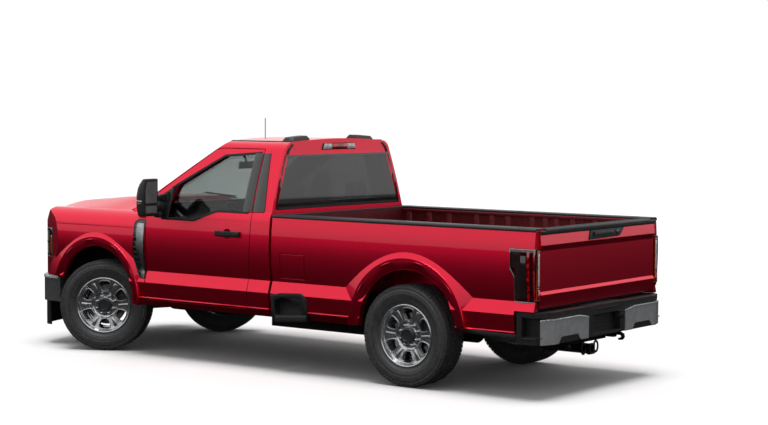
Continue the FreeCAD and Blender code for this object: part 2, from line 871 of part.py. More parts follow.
def make_cab():
    """Make the cab's body sides, back panel, roof, floor and firewall, and its doors and glass."""
    outer = cab_outer()
    room = cab_room()
    underside = box("cab_underside", behind(S.cab_back), 0, 0, S.cab_back,
                    S.body_half_width - S.cab_side_wall - S.rocker_width, S.floor_height - S.floor_thickness)
    fender_space = slab("fender_space", "YZ", [
        (S.pillar_half_width, 0),
        (S.overrun, 0),
        (S.overrun, S.fender_top_height),
        (S.pillar_inner, S.fender_top_height),
        (S.pillar_inner, S.pillar_inner_height),
        (S.pillar_half_width, S.pillar_height),
    ], behind(S.door_front), S.overrun)
    pillar_foot = box("pillar_foot_space", behind(S.pillar_foot), S.pillar_inner, 0, S.overrun, S.overrun, S.overrun)
    shell = cut("cab_shell", outer, room, underside, fender_space, pillar_foot)
    side = common("cab_side_solid", shell, side_region())
    door_hole = door_form("door_hole", S.shut_gap)
    middle = cut("cab_middle", shell, side_region())
    cowl_top = S.screen_base_height + S.screen_frame / 2
    clear = box("door_clearance", behind(S.door_rear + S.shut_gap),
                S.body_half_width - S.cab_side_wall - S.door_swing_gap, S.door_bottom - S.shut_gap,
                S.door_rear - S.door_front + S.shut_gap * 2, S.overrun,
                cowl_top - S.door_bottom + S.shut_gap * 2)
    middle = cut("cab_middle_clear", middle, clear)
    whole = fuse("cab_middle_whole", middle, mirror("cab_middle_right", middle))
    hole_top = S.back_glass_top - S.glass_overlap
    roof_region = box("roof_region_top", behind(S.cab_back), -S.overrun, S.side_split_high,
                      S.overrun, S.overrun * 2, S.overrun)
    roof_region = fuse("roof_region", roof_region, box(
        "roof_region_back", behind(S.cab_back), -S.overrun, hole_top, S.cab_back_wall * 2, S.overrun * 2, S.overrun))
    back_region = box("back_region", behind(S.cab_back), -S.overrun, S.floor_height, S.cab_back_wall,
                      S.overrun * 2, hole_top - S.floor_height)
    low_region = box("low_region", behind(S.cab_back), -S.overrun, 0, S.cab_back, S.overrun * 2, S.floor_height)
    front_region = box("front_region", behind(S.door_front + S.door_frame_width * 2), -S.overrun, S.floor_height,
                       S.overrun, S.overrun * 2, cowl_top - S.floor_height)
    screen_hole = slab("screen_hole", "YZ", [
        (-S.screen_bottom_half_width, cowl_top),
        (S.screen_bottom_half_width, cowl_top),
        (S.screen_top_half_width, S.screen_top_height - S.screen_frame),
        (-S.screen_top_half_width, S.screen_top_height - S.screen_frame),
    ], behind(S.screen_top), S.overrun)
    back_hole = slab("back_glass_hole", "YZ", [
        (-S.back_glass_bottom_half_width + S.glass_overlap, S.back_glass_bottom + S.glass_overlap),
        (S.back_glass_bottom_half_width - S.glass_overlap, S.back_glass_bottom + S.glass_overlap),
        (S.back_glass_top_half_width - S.glass_overlap, hole_top),
        (-S.back_glass_top_half_width + S.glass_overlap, hole_top),
    ], behind(S.cab_back + S.overrun), S.overrun + S.cab_back_wall * 2)
    hinges = [box(f"door_hinge_{name}", behind(S.door_front), S.body_half_width - S.cab_side_wall, height,
                  S.shut_gap, S.hinge_width, S.hinge_height)
              for name, height in (("low", S.hinge_low), ("high", S.hinge_high))]
    pillar_room = box("pillar_room", behind(S.screen_top), 0, cowl_top, S.overrun, S.overrun,
                      S.side_split_high - cowl_top)
    pillar = cut("pillar_left", common("pillar_block", middle, pillar_room), screen_hole, door_hole)
    side_form = fuse("cab_side_left_form", cut("cab_side_left_plain", side, door_hole, back_hole), pillar)
    left_side = keep(fuse("cab_side_left_solid", side_form, *hinges), "cab_side_left")
    keep(mirror("cab_side_right_solid", left_side), "cab_side_right")
    keep(cut("cab_roof_solid", common("cab_roof_block", whole, roof_region), front_region, screen_hole), "cab_roof")
    keep(cut("cab_back_solid", common("cab_back_block", whole, back_region), back_hole), "cab_back_panel")
    keep(common("cab_floor_solid", whole, low_region), "cab_floor")
    keep(common("cowl_solid", whole, front_region), "cowl")
    door_block = common("door_block", side, door_form("door_form", 0))
    window = slab("window_hole", "XZ", window_outline(0), S.overrun, S.overrun - S.ditch_half_width)
    cup = ball("handle_cup", behind(S.handle_back),
               S.body_half_width - S.handle_cup_depth + S.handle_cup_radius, S.handle_height, S.handle_cup_radius)
    door = keep(cut("door_left_solid", door_block, window, cup), "door_left")
    keep(mirror("door_right_solid", door), "door_right")
    make_glass(screen_hole, back_hole, window)
    return door


def make_glass(screen_hole, back_hole, window):
    """Make the windscreen, the back glass and the door glasses, each inside its opening."""
    skin = cut("screen_skin", screen_curve("screen_outside", 0), screen_curve("screen_inside", S.glass_thickness))
    keep(common("windscreen_solid", skin, screen_hole), "windscreen")
    back_slab = slab("back_glass_slab", "XZ", [
        (behind(S.cab_back), S.belt_height),
        (behind(S.cab_back - S.glass_thickness), S.belt_height),
        (behind(S.cab_back_top - S.glass_thickness), S.drip_height),
        (behind(S.cab_back_top), S.drip_height),
    ], S.overrun, S.overrun * 2)
    keep(common("back_glass_solid", back_slab, back_hole), "back_glass")
    lean = (S.belt_half_width - S.drip_half_width) / (S.drip_height - S.belt_height)
    low = S.belt_half_width + lean * (S.belt_height - S.sill_step) - S.door_glass_inset
    high = S.drip_half_width - S.door_glass_inset
    pane = slab("door_pane", "YZ", [
        (low - S.glass_thickness, S.sill_step),
        (low, S.sill_step),
        (high, S.drip_height),
        (high - S.glass_thickness, S.drip_height),
    ], behind(S.cab_back), S.cab_back)
    glass = keep(common("door_glass_left_solid", pane, window), "door_glass_left")
    keep(mirror("door_glass_right_solid", glass), "door_glass_right")


def nose(name, wall):
    """Return the left half of the volume of the front body, inside its skin by a wall."""
    section = slab(name + "_section", "YZ", side_section([
        (S.body_half_width - wall, S.fender_shoulder_height, S.fender_bow),
        (S.fender_top_half_width, S.fender_top_height - wall),
        (0, S.fender_top_height - wall),
    ], -as_size(wall)), behind(S.door_front - S.fender_rear_gap), S.overrun)
    return common(name, section, nose_plan(name + "_plan", wall))


def nose_plan(name, wall):
    """Return the front body's left half seen from above, as a tall block inside its skin by a wall."""
    return slab(name, "XY", [
        (behind(S.door_front), 0),
        (ahead(S.nose_front) - wall, 0, S.nose_bow),
        (ahead(S.fender_front) - wall, S.nose_corner_half_width - wall / 2, S.nose_side_bow),
        (ahead(S.nose_side_start), S.flare_out - wall),
        (behind(S.door_front), S.flare_out - wall),
    ], 0, S.overrun)


def headlamp_region(name, gap):
    """Return the block that holds the left headlamp, larger by a gap."""
    return box(
        name, ahead(S.fender_front - S.headlamp_depth) - gap, S.headlamp_inner - gap, S.headlamp_bottom - gap,
        S.overrun, S.overrun, S.headlamp_top - S.headlamp_bottom + gap * 2,
    )


def front_arch(name, inset):
    """Return the hole of the left front wheel arch, smaller in radius by an inset."""
    return cylinder(
        name, "Y", behind(S.front_arch_back), S.liner_inner, S.front_arch_height,
        S.front_arch_radius - inset, S.overrun,
    )


def flare(name, x, z, radius, bottom):
    """Return the left wheel arch's swelling and its turned-in lip, above a height."""
    rim = radius + S.flare_lip
    swell = cone(name + "_swell", "Y", x, S.band_in, z, rim + S.flare_spread, rim, S.flare_out - S.band_in)
    lip = cone(name + "_lip", "Y", x, S.flare_out - S.flare_lip_depth, z, radius, rim + S.flare_lip,
               S.flare_lip_depth * 2)
    keep_above = box(name + "_above", x - S.overrun, 0, bottom, S.overrun * 2, S.overrun, S.overrun)
    return common(name, cut(name + "_ring", swell, lip), keep_above)


def make_front_body():
    """Make the fenders, hood, grille, headlamps, radiator core and side vents."""
    outer = nose("nose_outer", 0)
    inner = nose("nose_inner", S.fender_wall)
    skin = cut("nose_skin", outer, inner)
    swell = flare("front_flare", behind(S.front_arch_back), S.front_arch_height, S.front_arch_radius,
                  S.band_low_height)
    side_view = slab("fender_side_view", "XZ", [
        (behind(S.door_front - S.fender_rear_gap), S.sill_bottom),
        (front_axle, S.sill_bottom),
        (front_axle, S.front_bumper_top + S.shut_gap),
        (ahead(S.fender_front), S.front_bumper_top + S.shut_gap),
        (ahead(S.fender_front), S.headlamp_top + S.fender_wall * 2),
        (ahead(S.hood_front - S.hood_front_cut), S.fender_top_height),
        (behind(S.door_front - S.fender_rear_gap), S.fender_top_height),
    ], S.overrun, S.overrun - S.fender_inner)
    front_view = slab("fender_front_view", "XZ", [
        (ahead(S.fender_return), S.front_bumper_top + S.shut_gap),
        (ahead(S.nose_front), S.front_bumper_top + S.shut_gap),
        (ahead(S.nose_front), S.grille_top),
        (ahead(S.hood_turn), S.fender_top_height - S.hood_turn_drop - S.hood_thickness - S.shut_gap * 2),
        (ahead(S.fender_return), S.fender_top_height - S.hood_front_drop - S.hood_thickness),
    ], S.fender_inner + S.shut_gap, S.fender_inner + S.shut_gap - S.grille_half_width)
    fender = common("fender_form", fuse("fender_swollen", skin, swell), fuse("fender_views", side_view, front_view))
    fender = cut("fender_left_solid", fender, front_arch("front_arch", 0), headlamp_region("lamp_hole", 0))
    keep(fender, "fender_left")
    keep(mirror("fender_right_solid", fender), "fender_right")
    lamp = common("headlamp_form", cut("headlamp_shell", outer, nose("headlamp_back", S.headlamp_wall)),
                  headlamp_region("headlamp_block", 0))
    keep(lamp, "headlamp_left")
    keep(mirror("headlamp_right_form", lamp), "headlamp_right")
    make_grille(skin, make_hood())
    return fender


def make_hood():
    """Make the hood as a loft through its sections, each with the step up to the dome."""
    sections = []
    for number, (along_share, edge_share, crown_share) in enumerate(HOOD_SHARES):
        x = behind(S.hood_rear) + (S.hood_rear + S.hood_front) * along_share
        half = S.fender_top_half_width
        edge = S.fender_top_height - S.hood_front_drop + S.hood_front_drop * edge_share
        crown = S.fender_top_height - S.hood_lip_drop + (S.hood_crown_rise + S.hood_lip_drop) * crown_share
        dome = S.hood_dome_half_width
        sections.append(outline(f"hood_section_{number}", "YZ", [
            (0, edge - S.hood_thickness),
            (half, edge - S.hood_thickness),
            (half, edge),
            (dome + S.hood_dome_step * 2, crown - S.hood_dome_step * crown_share),
            (dome, crown - S.hood_dome_step / 3),
            (0, crown),
        ], x))
    width = box("hood_width", behind(S.hood_rear), 0, 0, S.overrun, S.fender_top_half_width - S.hood_side_gap,
                S.overrun)
    left = common("hood_left", loft("hood_left_form", sections), width, nose_plan("hood_plan", 0))
    return keep(fuse("hood_solid", left, mirror("hood_right_half", left)), "hood")


# Each row gives a hood section's place along the hood, its edge's height and its crown's height.
HOOD_SHARES = (
    (0, 0.97, 0.99),
    (0.326, 0.9, 0.958),
    (0.711, 0.5, 0.784),
    (0.879, -0.67, 0.547),
    (1, -2.25, 0.02),
)


def make_grille(skin, hood):
    """Make the grille: its frame, two thick bars and the slats between, curved as the nose is."""
    half = S.grille_half_width
    low = S.grille_bottom
    high = S.grille_top
    block = box("grille_frame_block", ahead(S.grille_back), 0, low, S.overrun, half, high - low)
    opening = box("grille_frame_hole", ahead(S.grille_back) - S.shut_gap, -S.overrun, low + S.grille_frame,
                  S.overrun * 2, S.overrun + half - S.grille_frame, high - low - S.grille_frame * 2)
    frame = cut("grille_frame_form", block, opening)
    bars = []
    count = 9
    pitch = (high - low - S.grille_frame * 2) / count
    for index in range(1, count):
        thick = index in (3, 6)
        height = S.grille_bar_height if thick else S.grille_slat
        middle = low + S.grille_frame + pitch * index
        bars.append(box(f"grille_bar_{index}", ahead(S.grille_back), 0, middle - height / 2, S.overrun, half, height))
    left = common("grille_left", skin, fuse("grille_bars", frame, *bars))
    keep(fuse("grille_solid", left, mirror("grille_right_half", left)), "grille")
    core_bottom = S.rail_front_bottom + S.frame_rail_height
    core = box("radiator_core_form", ahead(S.core_front - S.core_depth), -S.core_half_width, core_bottom,
               S.core_depth, S.core_half_width * 2, S.fender_top_height - S.core_drop - core_bottom)
    stops = [cylinder(f"hood_stop_{name}", "Z", ahead(S.core_front - S.core_depth / 2), place_across, core_bottom,
                      S.hood_stop_radius, S.fender_top_height - S.hood_lip_drop + S.hood_thickness - core_bottom)
             for name, place_across in (("left", S.hood_stop_offset), ("right", -S.hood_stop_offset))]
    keep(cut("radiator_core_solid", fuse("radiator_core_whole", core, *stops), hood), "radiator_core")


def make_front_bumper():
    """Make the front bumper, wrapped round the nose, and the air dam below it."""
    def plan(name, wall, top, bottom):
        half = S.front_bumper_half_width - wall
        points = [
            (ahead(S.front_bumper_wrap) - wall * 2, 0),
            (ahead(S.front_overhang) - wall, 0, S.front_bumper_bow),
            (ahead(S.bumper_corner_front) - wall, S.bumper_corner_half_width - wall / 2, S.bumper_corner_bow),
            (ahead(S.bumper_side_start), half),
            (ahead(S.front_bumper_wrap) - wall * 2, half),
        ]
        return slab(name, "XY", points, bottom, top - bottom)
    top = S.front_bumper_top
    bottom = S.front_bumper_bottom
    left = cut("front_bumper_left", plan("front_bumper_outer", 0, top, bottom),
               plan("front_bumper_inner", S.front_bumper_wall, S.overrun, 0))
    bumper = keep(fuse("front_bumper_solid", left, mirror("front_bumper_right", left)), "front_bumper")
    inset = S.front_bumper_wall - S.air_dam_thickness
    dam = cut("air_dam_ring", plan("air_dam_outer", inset, bottom, S.air_dam_bottom),
              plan("air_dam_inner", S.front_bumper_wall, S.overrun, 0),
              box("air_dam_behind", -S.overrun, 0, 0, S.overrun + ahead(S.air_dam_back), S.overrun, S.overrun))
    keep(fuse("air_dam_solid", dam, mirror("air_dam_right", dam)), "air_dam")
    return bumper


def bed_section(name, grow, depth):
    """Return the left bedside's cross-section as a solid along the bed."""
    points = side_section([
        (S.body_half_width - S.shoulder_bow + grow, S.shoulder_height),
        (S.bed_rail_half_width + grow, S.bed_rail_height),
        (0, S.bed_rail_height),
    ], grow)
    return slab(name, "YZ", points, behind(S.bed_rear) - depth, S.bed_rear - S.bed_front + depth)


def tail_lamp_region(name, gap):
    """Return the block that holds the left tail lamp, larger by a gap."""
    return slab(name, "XZ", [
        (behind(S.bed_rear) - S.overrun, S.tail_lamp_bottom - gap),
        (behind(S.tail_lamp_low_front) + gap, S.tail_lamp_bottom - gap),
        (behind(S.tail_lamp_low_front) + gap, S.tail_lamp_notch),
        (behind(S.tail_lamp_front) + gap, S.tail_lamp_notch + S.tail_lamp_step),
        (behind(S.tail_lamp_front) + gap, S.tail_lamp_top + gap),
        (behind(S.bed_rear) - S.overrun, S.tail_lamp_top + gap),
    ], S.overrun, S.overrun - S.tailgate_half_width - S.shut_gap + gap)


def make_bed():
    """Make the load bed: its sides with wheelhouses, floor, tail lamps, fuel door and rail caps."""
    form = bed_section("bedside_form", 0, 0)
    above = box("bedside_above", behind(S.bed_rear), 0, S.bed_floor_height - S.bed_floor_thickness,
                S.bed_rear - S.bed_front, S.bed_inner_half_width, S.overrun)
    below = box("bedside_below", behind(S.bed_rear), 0, 0, S.bed_rear - S.bed_front,
                S.band_in - S.fender_wall, S.bed_floor_height - S.bed_floor_thickness)
    wall = cut("bedside_wall", form, above, below)
    x = rear_axle - S.rear_arch_back
    swell = flare("rear_flare", x, S.rear_arch_height, S.rear_arch_radius, S.band_low_height)
    house_radius = S.rear_arch_radius - S.wheelhouse_wall
    house = cylinder("wheelhouse_outside", "Y", x, S.wheelhouse_inner, S.rear_arch_height, S.rear_arch_radius,
                     S.band_in - S.fender_wall - S.wheelhouse_inner)
    house_bottom = S.bed_floor_height - S.bed_floor_thickness
    house = cut("wheelhouse_top", house, box("wheelhouse_below", x - S.overrun, 0, house_bottom - S.overrun,
                                             S.overrun * 2, S.overrun, S.overrun))
    hole = cylinder("rear_arch", "Y", x, S.wheelhouse_inner + S.wheelhouse_wall, S.rear_arch_height, house_radius,
                    S.overrun)
    side = fuse("bedside_solid_form", wall, swell, house)
    rear_cut = slab("bedside_rear_cut", "XZ", [
        (behind(S.bed_rear) - S.overrun, 0),
        (x, 0),
        (x, S.sill_bottom),
        (behind(S.rear_valance_front), S.rear_valance_low),
        (behind(S.rear_valance_rear), S.rear_valance_high),
        (behind(S.rear_valance_rear), S.rear_bumper_top + S.shut_gap),
        (behind(S.bed_rear) - S.overrun, S.rear_bumper_top + S.shut_gap),
    ], S.overrun, S.overrun)
    gate_space = box("tailgate_space", behind(S.bed_rear + S.overrun), 0, 0, S.overrun + S.bed_rear - S.tailgate_outer
                     + S.tailgate_thickness + S.tailgate_swing, S.tailgate_half_width + S.shut_gap, S.overrun)
    pocket = box("fuel_pocket", behind(S.fuel_door_rear), S.body_half_width - S.fuel_pocket_depth,
                 S.fuel_door_bottom, S.fuel_door_rear - S.fuel_door_front, S.overrun,
                 S.fuel_door_top - S.fuel_door_bottom)
    step = slab("step_recess", "XZ", [
        (behind(S.step_rear), 0),
        (behind(S.step_front), 0),
        (behind(S.step_front), S.band_low_height - S.ledge_depth * 2),
        (behind(S.step_rear - S.step_depth * 2), S.band_low_height - S.ledge_depth * 5),
        (behind(S.step_rear), S.ledge_height),
    ], S.overrun, S.overrun - S.body_half_width + S.step_depth)
    lamp_hole = tail_lamp_region("tail_lamp_hole", 0)
    plain = cut("bedside_right_source", side, hole, lamp_hole, rear_cut, gate_space)
    fuel_band = cut("fuel_band", bed_section("fuel_outside", 0, 0), bed_section("fuel_inside", -S.fuel_door_depth, 0))
    fuel_door = common("fuel_door_solid", fuel_band, box(
        "fuel_door_block", behind(S.fuel_door_rear - S.shut_gap), 0, S.fuel_door_bottom + S.shut_gap,
        S.fuel_door_rear - S.fuel_door_front - S.shut_gap * 2, S.overrun,
        S.fuel_door_top - S.fuel_door_bottom - S.shut_gap * 2))
    keep(fuel_door, "fuel_door")
    arm = box("fuel_hinge_form", behind(S.fuel_door_front + S.fuel_hinge), S.body_half_width - S.fuel_pocket_depth,
              (S.fuel_door_bottom + S.fuel_door_top - S.fuel_hinge) / 2, S.fuel_hinge / 2,
              S.fuel_pocket_depth - S.fuel_door_depth / 2, S.fuel_hinge)
    arm = cut("fuel_hinge_left", arm, fuel_door)
    keep(fuse("bedside_left_solid", cut("bedside_left_form", plain, pocket, step), arm), "bedside_left")
    keep(mirror("bedside_right_solid", plain), "bedside_right")
    lamp = common("tail_lamp_form", bed_section("tail_lamp_section", S.lamp_proud, S.tail_lamp_reach),
                  tail_lamp_region("tail_lamp_block", 0))
    keep(lamp, "tail_lamp_left")
    keep(mirror("tail_lamp_right_form", lamp), "tail_lamp_right")
    floor_rear = S.bed_rear - S.floor_rear_gap
    floor = box("bed_floor_plate", behind(floor_rear), -S.bed_inner_half_width,
                S.bed_floor_height - S.bed_floor_thickness, floor_rear - S.bed_front, S.bed_inner_half_width * 2,
                S.bed_floor_thickness)
    front = box("bed_front_plate", behind(S.bed_front + S.bed_front_wall), -S.bed_inner_half_width,
                S.bed_floor_height, S.bed_front_wall, S.bed_inner_half_width * 2,
                S.bed_rail_height - S.bed_floor_height)
    opening = cylinder("wheelhouse_left_gap", "Y", x, S.wheelhouse_inner, S.rear_arch_height, S.rear_arch_radius,
                       S.overrun)
    floor = fuse("bed_floor_form", floor, front)
    keep(cut("bed_floor_solid", floor, opening, mirror("wheelhouse_right_gap", opening)), "bed_floor")
    cap = box("rail_cap_form", behind(S.bed_rear), S.bed_inner_half_width, S.bed_rail_height,
              S.bed_rear - S.bed_front, S.bed_rail_half_width - S.bed_inner_half_width, S.cap_thickness)
    front_cap = box("front_rail_cap", behind(S.bed_front + S.bed_front_wall), -S.bed_inner_half_width,
                    S.bed_rail_height, S.bed_front_wall, S.bed_inner_half_width * 2, S.cap_thickness)
    cap = cut("rail_cap_left", cap, gate_space)
    keep(fuse("rail_caps_solid", cap, mirror("rail_cap_right", cap), front_cap), "rail_caps")


def make_tailgate():
    """Make the tailgate from its side profile: two ridges stand out from its pressed panel."""
    outer = behind(S.tailgate_outer)
    inner = outer + S.tailgate_thickness
    ridge = outer - S.tailgate_ridge_depth
    profile = slab("tailgate_solid", "XZ", [
        (inner, S.tailgate_bottom),
        (inner, S.bed_rail_height),
        (outer, S.bed_rail_height),
        (ridge, S.bed_rail_height - S.tailgate_top_ridge_drop),
        (outer, S.bed_rail_height - S.tailgate_step_drop),
        (outer, S.tailgate_low_ridge),
        (ridge, S.tailgate_low_ridge - S.tailgate_ridge_depth * 2),
        (outer, S.tailgate_bottom),
    ], S.tailgate_half_width, S.tailgate_half_width * 2)
    reach = S.tailgate_half_width + S.shut_gap - S.pin_gap / 2
    pins = cylinder("tailgate_pins", "Y", outer + S.tailgate_pin_ahead, -reach,
                    S.tailgate_bottom + S.tailgate_pin_height, S.tailgate_pin_radius, reach * 2)
    keep(fuse("tailgate_whole", profile, pins), "tailgate")


def make_rear_bumper():
    """Make the rear bumper: a wrapped bar with a plate recess and corner steps, and its two plated panels."""
    def plan(name, wall, bottom, height):
        rear = front_axle - S.wheelbase - S.rear_overhang + wall
        half = S.rear_bumper_half_width - wall
        points = [
            (behind(S.rear_bumper_side_front), 0),
            (behind(S.rear_bumper_side_front), half),
            (rear + S.rear_bumper_depth, half),
            (rear + S.rear_corner, half - S.rear_corner),
            (rear, half - S.rear_corner * 4),
            (rear, 0),
        ]
        points.reverse()
        return slab(name, "XY", points, bottom, height)
    height = S.rear_bumper_top - S.rear_bumper_bottom
    proud = S.bumper_panel_thickness
    wall = S.rear_bumper_wall
    rear = front_axle - S.wheelbase - S.rear_overhang
    core = plan("rear_bumper_core", proud, S.rear_bumper_bottom, height)
    hollow = plan("rear_bumper_hollow", proud + wall, S.rear_bumper_bottom - wall, height)
    shell = cut("rear_bumper_shell", core, hollow)
    middle = box("plate_block", rear + proud, 0, S.rear_bumper_bottom, S.rear_bumper_depth,
                 S.plate_half_width + wall, height)
    corner = common("corner_block", core, box(
        "corner_block_form", rear + S.corner_step_rear - wall, S.rear_bumper_half_width - S.corner_step_depth - wall,
        S.rear_bumper_bottom, S.corner_step_length + wall * 2, S.overrun, height))
    recess = box("plate_recess", rear, -S.overrun, S.plate_bottom, proud + S.plate_recess_depth,
                 S.overrun + S.plate_half_width, S.plate_height)
    pocket = box("corner_step_pocket", rear + S.corner_step_rear, S.rear_bumper_half_width - S.corner_step_depth,
                 S.corner_step_bottom, S.corner_step_length, S.overrun, S.corner_step_height)
    bar = cut("rear_bumper_bar", fuse("rear_bumper_blocks", shell, middle, corner), recess, pocket)
    keep(fuse("rear_bumper_solid", bar, mirror("rear_bumper_right", bar)), "rear_bumper")
    skin = cut("bumper_panel_skin", plan("bumper_panel_outer", 0, S.rear_bumper_bottom, height),
               plan("bumper_panel_inner", proud, S.rear_bumper_bottom - wall, S.overrun))
    panel_view = slab("bumper_panel_view", "YZ", [
        (S.panel_inner_end, S.rear_bumper_bottom),
        (S.panel_notch_start, S.rear_bumper_bottom),
        (S.panel_notch_start + S.rear_corner, S.rear_bumper_bottom + S.panel_notch_height),
        (S.panel_notch_end, S.rear_bumper_bottom + S.panel_notch_height),
        (S.panel_notch_end + S.rear_corner, S.rear_bumper_bottom),
        (S.overrun, S.rear_bumper_bottom),
        (S.overrun, S.rear_bumper_top - S.panel_top_drop),
        (S.plate_half_width * 2, S.rear_bumper_top - S.panel_top_drop),
        (S.panel_inner_end, S.rear_bumper_top - S.panel_top_drop - S.panel_top_slope),
    ], rear, S.rear_corner + proud)
    panel = common("bumper_panel_left_solid", skin, panel_view)
    keep(panel, "bumper_panel_left")
    keep(mirror("bumper_panel_right_solid", panel), "bumper_panel_right")


def make_tyre(corner):
    """Make a tyre round the Y axis."""
    item = body(f"tyre_{corner}_body")
    seat = S.rim_radius - S.bead_drop
    inside = S.rim_width / 2 - S.rim_flange
    half = S.tyre_width / 2
    tread = half - S.tyre_shoulder
    wall = S.tyre_wall
    turned(item, f"tyre_{corner}_ring", [
        (seat, -inside),
        (seat, wall - inside),
        (S.rim_radius + S.rim_clearance, wall - inside),
        (S.rim_radius + S.tyre_bulge_height, wall - half),
        (S.wheel_radius - wall, wall - tread),
        (S.wheel_radius - wall, tread - wall),
        (S.rim_radius + S.tyre_bulge_height, half - wall),
        (S.rim_radius + S.rim_clearance, inside - wall),
        (seat, inside - wall),
        (seat, inside),
        (S.rim_radius + S.rim_clearance, inside + S.rim_clearance),
        (S.rim_radius + S.tyre_bulge_height, half),
        (S.wheel_radius - S.tyre_shoulder, half - S.tyre_shoulder / 3),
        (S.wheel_radius, tread),
        (S.wheel_radius, -tread),
        (S.wheel_radius - S.tyre_shoulder, S.tyre_shoulder / 3 - half),
        (S.rim_radius + S.tyre_bulge_height, -half),
        (S.rim_radius + S.rim_clearance, -inside - S.rim_clearance),
    ])
    return item


def make_rim(corner, cap_radius, cap_reach):
    """Make a rim round the Y axis: barrel, face with six windows, hub, lugs and cap."""
    item = body(f"rim_{corner}_body")
    half = S.rim_width / 2
    lip = S.rim_flange
    seat = S.rim_radius - S.bead_drop
    drop = seat - S.rim_drop
    wall = S.rim_barrel_wall
    face = S.rim_face_reach
    turned(item, f"rim_{corner}_turned", [
        (S.rim_radius, -half),
        (S.rim_radius, lip / 2 - half),
        (seat, lip - half),
        (seat, lip * 4 - half),
        (drop, lip * 6 - half),
        (drop, -lip / 2),
        (seat, lip * 2),
        (seat, half - lip),
        (S.rim_radius, half - lip / 2),
        (S.rim_radius, half),
        (S.rim_radius - wall, half),
        (S.rim_window_outer + wall, face + lip),
        (S.hub_pad_radius, face),
        (cap_radius + wall, face),
        (cap_radius, face + wall),
        (cap_radius - wall, cap_reach),
        (0, cap_reach),
        (0, face - S.rim_face_thickness),
        (S.hub_radius, face - S.rim_face_thickness),
        (S.hub_pad_radius, face - S.rim_face_thickness),
        (seat - wall, face - S.rim_face_thickness / 2),
        (seat - wall, lip * 2 + wall / 3),
        (drop - wall, wall / 3 - lip / 2),
        (drop - wall, lip * 6 - half),
        (seat - wall, lip * 4 - half),
        (seat - wall, -half),
    ])
    window = body_sketch(item, f"rim_{corner}_window", "XZ_Plane", [
        (-S.rim_window_width / 2, S.rim_window_inner + S.rim_window_curve),
        (-S.rim_window_width / 3, S.rim_window_inner),
        (S.rim_window_width / 3, S.rim_window_inner),
        (S.rim_window_width / 2, S.rim_window_inner + S.rim_window_curve),
        (S.rim_window_width / 2, S.rim_window_outer - S.rim_window_curve),
        (S.rim_window_width / 3, S.rim_window_outer),
        (-S.rim_window_width / 3, S.rim_window_outer),
        (-S.rim_window_width / 2, S.rim_window_outer - S.rim_window_curve),
    ])
    bind(window, "AttachmentOffset.Base.z", -face)
    pocket = item.newObject("PartDesign::Pocket", f"rim_{corner}_pocket")
    pocket.Profile = window
    pocket.Midplane = True
    bind(pocket, "Length", S.rim_face_thickness * 3)
    pattern = item.newObject("PartDesign::PolarPattern", f"rim_{corner}_windows")
    pattern.Originals = [pocket]
    pattern.Axis = (window, ["N_Axis"])
    pattern.Angle = 360
    pattern.Occurrences = 6
    item.Tip = pattern
    return item


HALF_TURN = math.degrees(math.pi)


def wheel_place(item, side, front):
    """Put a wheel piece, made round the Y axis, at its corner."""
    turn_back = 0 if side > 0 else HALF_TURN
    if front:
        kingpin = S.track_front / 2 - S.kingpin_inset
        turn(item, S.steer_rest + turn_back)
        place(
            item,
            front_axle - S.kingpin_inset * sine(S.steer_rest) * side,
            (kingpin + S.kingpin_inset * cosine(S.steer_rest)) * side,
            S.wheel_radius,
        )
    else:
        turn(item, as_size(turn_back))
        place(item, rear_axle, S.track_rear / 2 * side, S.wheel_radius)


def make_wheels():
    """Make the four wheels, each a tyre on a rim; the front pair stands turned to the left."""
    for corner, side, front in (
        ("front_left", 1, True), ("front_right", -1, True), ("rear_left", 1, False), ("rear_right", -1, False),
    ):
        tyre = make_tyre(corner)
        cap_radius = S.front_cap_radius if front else S.rear_cap_radius
        cap_reach = S.front_cap_reach if front else S.rear_cap_reach
        rim = make_rim(corner, cap_radius, cap_reach)
        wheel_place(tyre, side, front)
        wheel_place(rim, side, front)
        keep(tyre, f"tyre_{corner}")
        keep(rim, f"rim_{corner}")


def make_knuckles():
    """Make the steering knuckles with their brake discs, turned as the front wheels are."""
    for name, side in (("left", 1), ("right", -1)):
        reach = S.kingpin_inset + S.rim_face_reach - S.rim_face_thickness - S.pin_gap
        barrel = cylinder(f"knuckle_{name}_barrel", "Z", 0, 0, -S.knuckle_height / 2, S.kingpin_radius * 1.5,
                          S.knuckle_height)
        spindle = cylinder(f"knuckle_{name}_spindle", "Y", 0, 0 if side > 0 else -reach, 0, S.spindle_radius, reach)
        disc_start = S.disc_start if side > 0 else -S.disc_start - S.disc_thickness
        disc = cylinder(f"knuckle_{name}_disc", "Y", 0, disc_start, 0, S.disc_radius, S.disc_thickness)
        item = fuse(f"knuckle_{name}_solid", barrel, spindle, disc)
        turn(item, S.steer_rest)
        place(item, front_axle, (S.track_front / 2 - S.kingpin_inset) * side, S.wheel_radius)
        keep(item, f"knuckle_{name}")


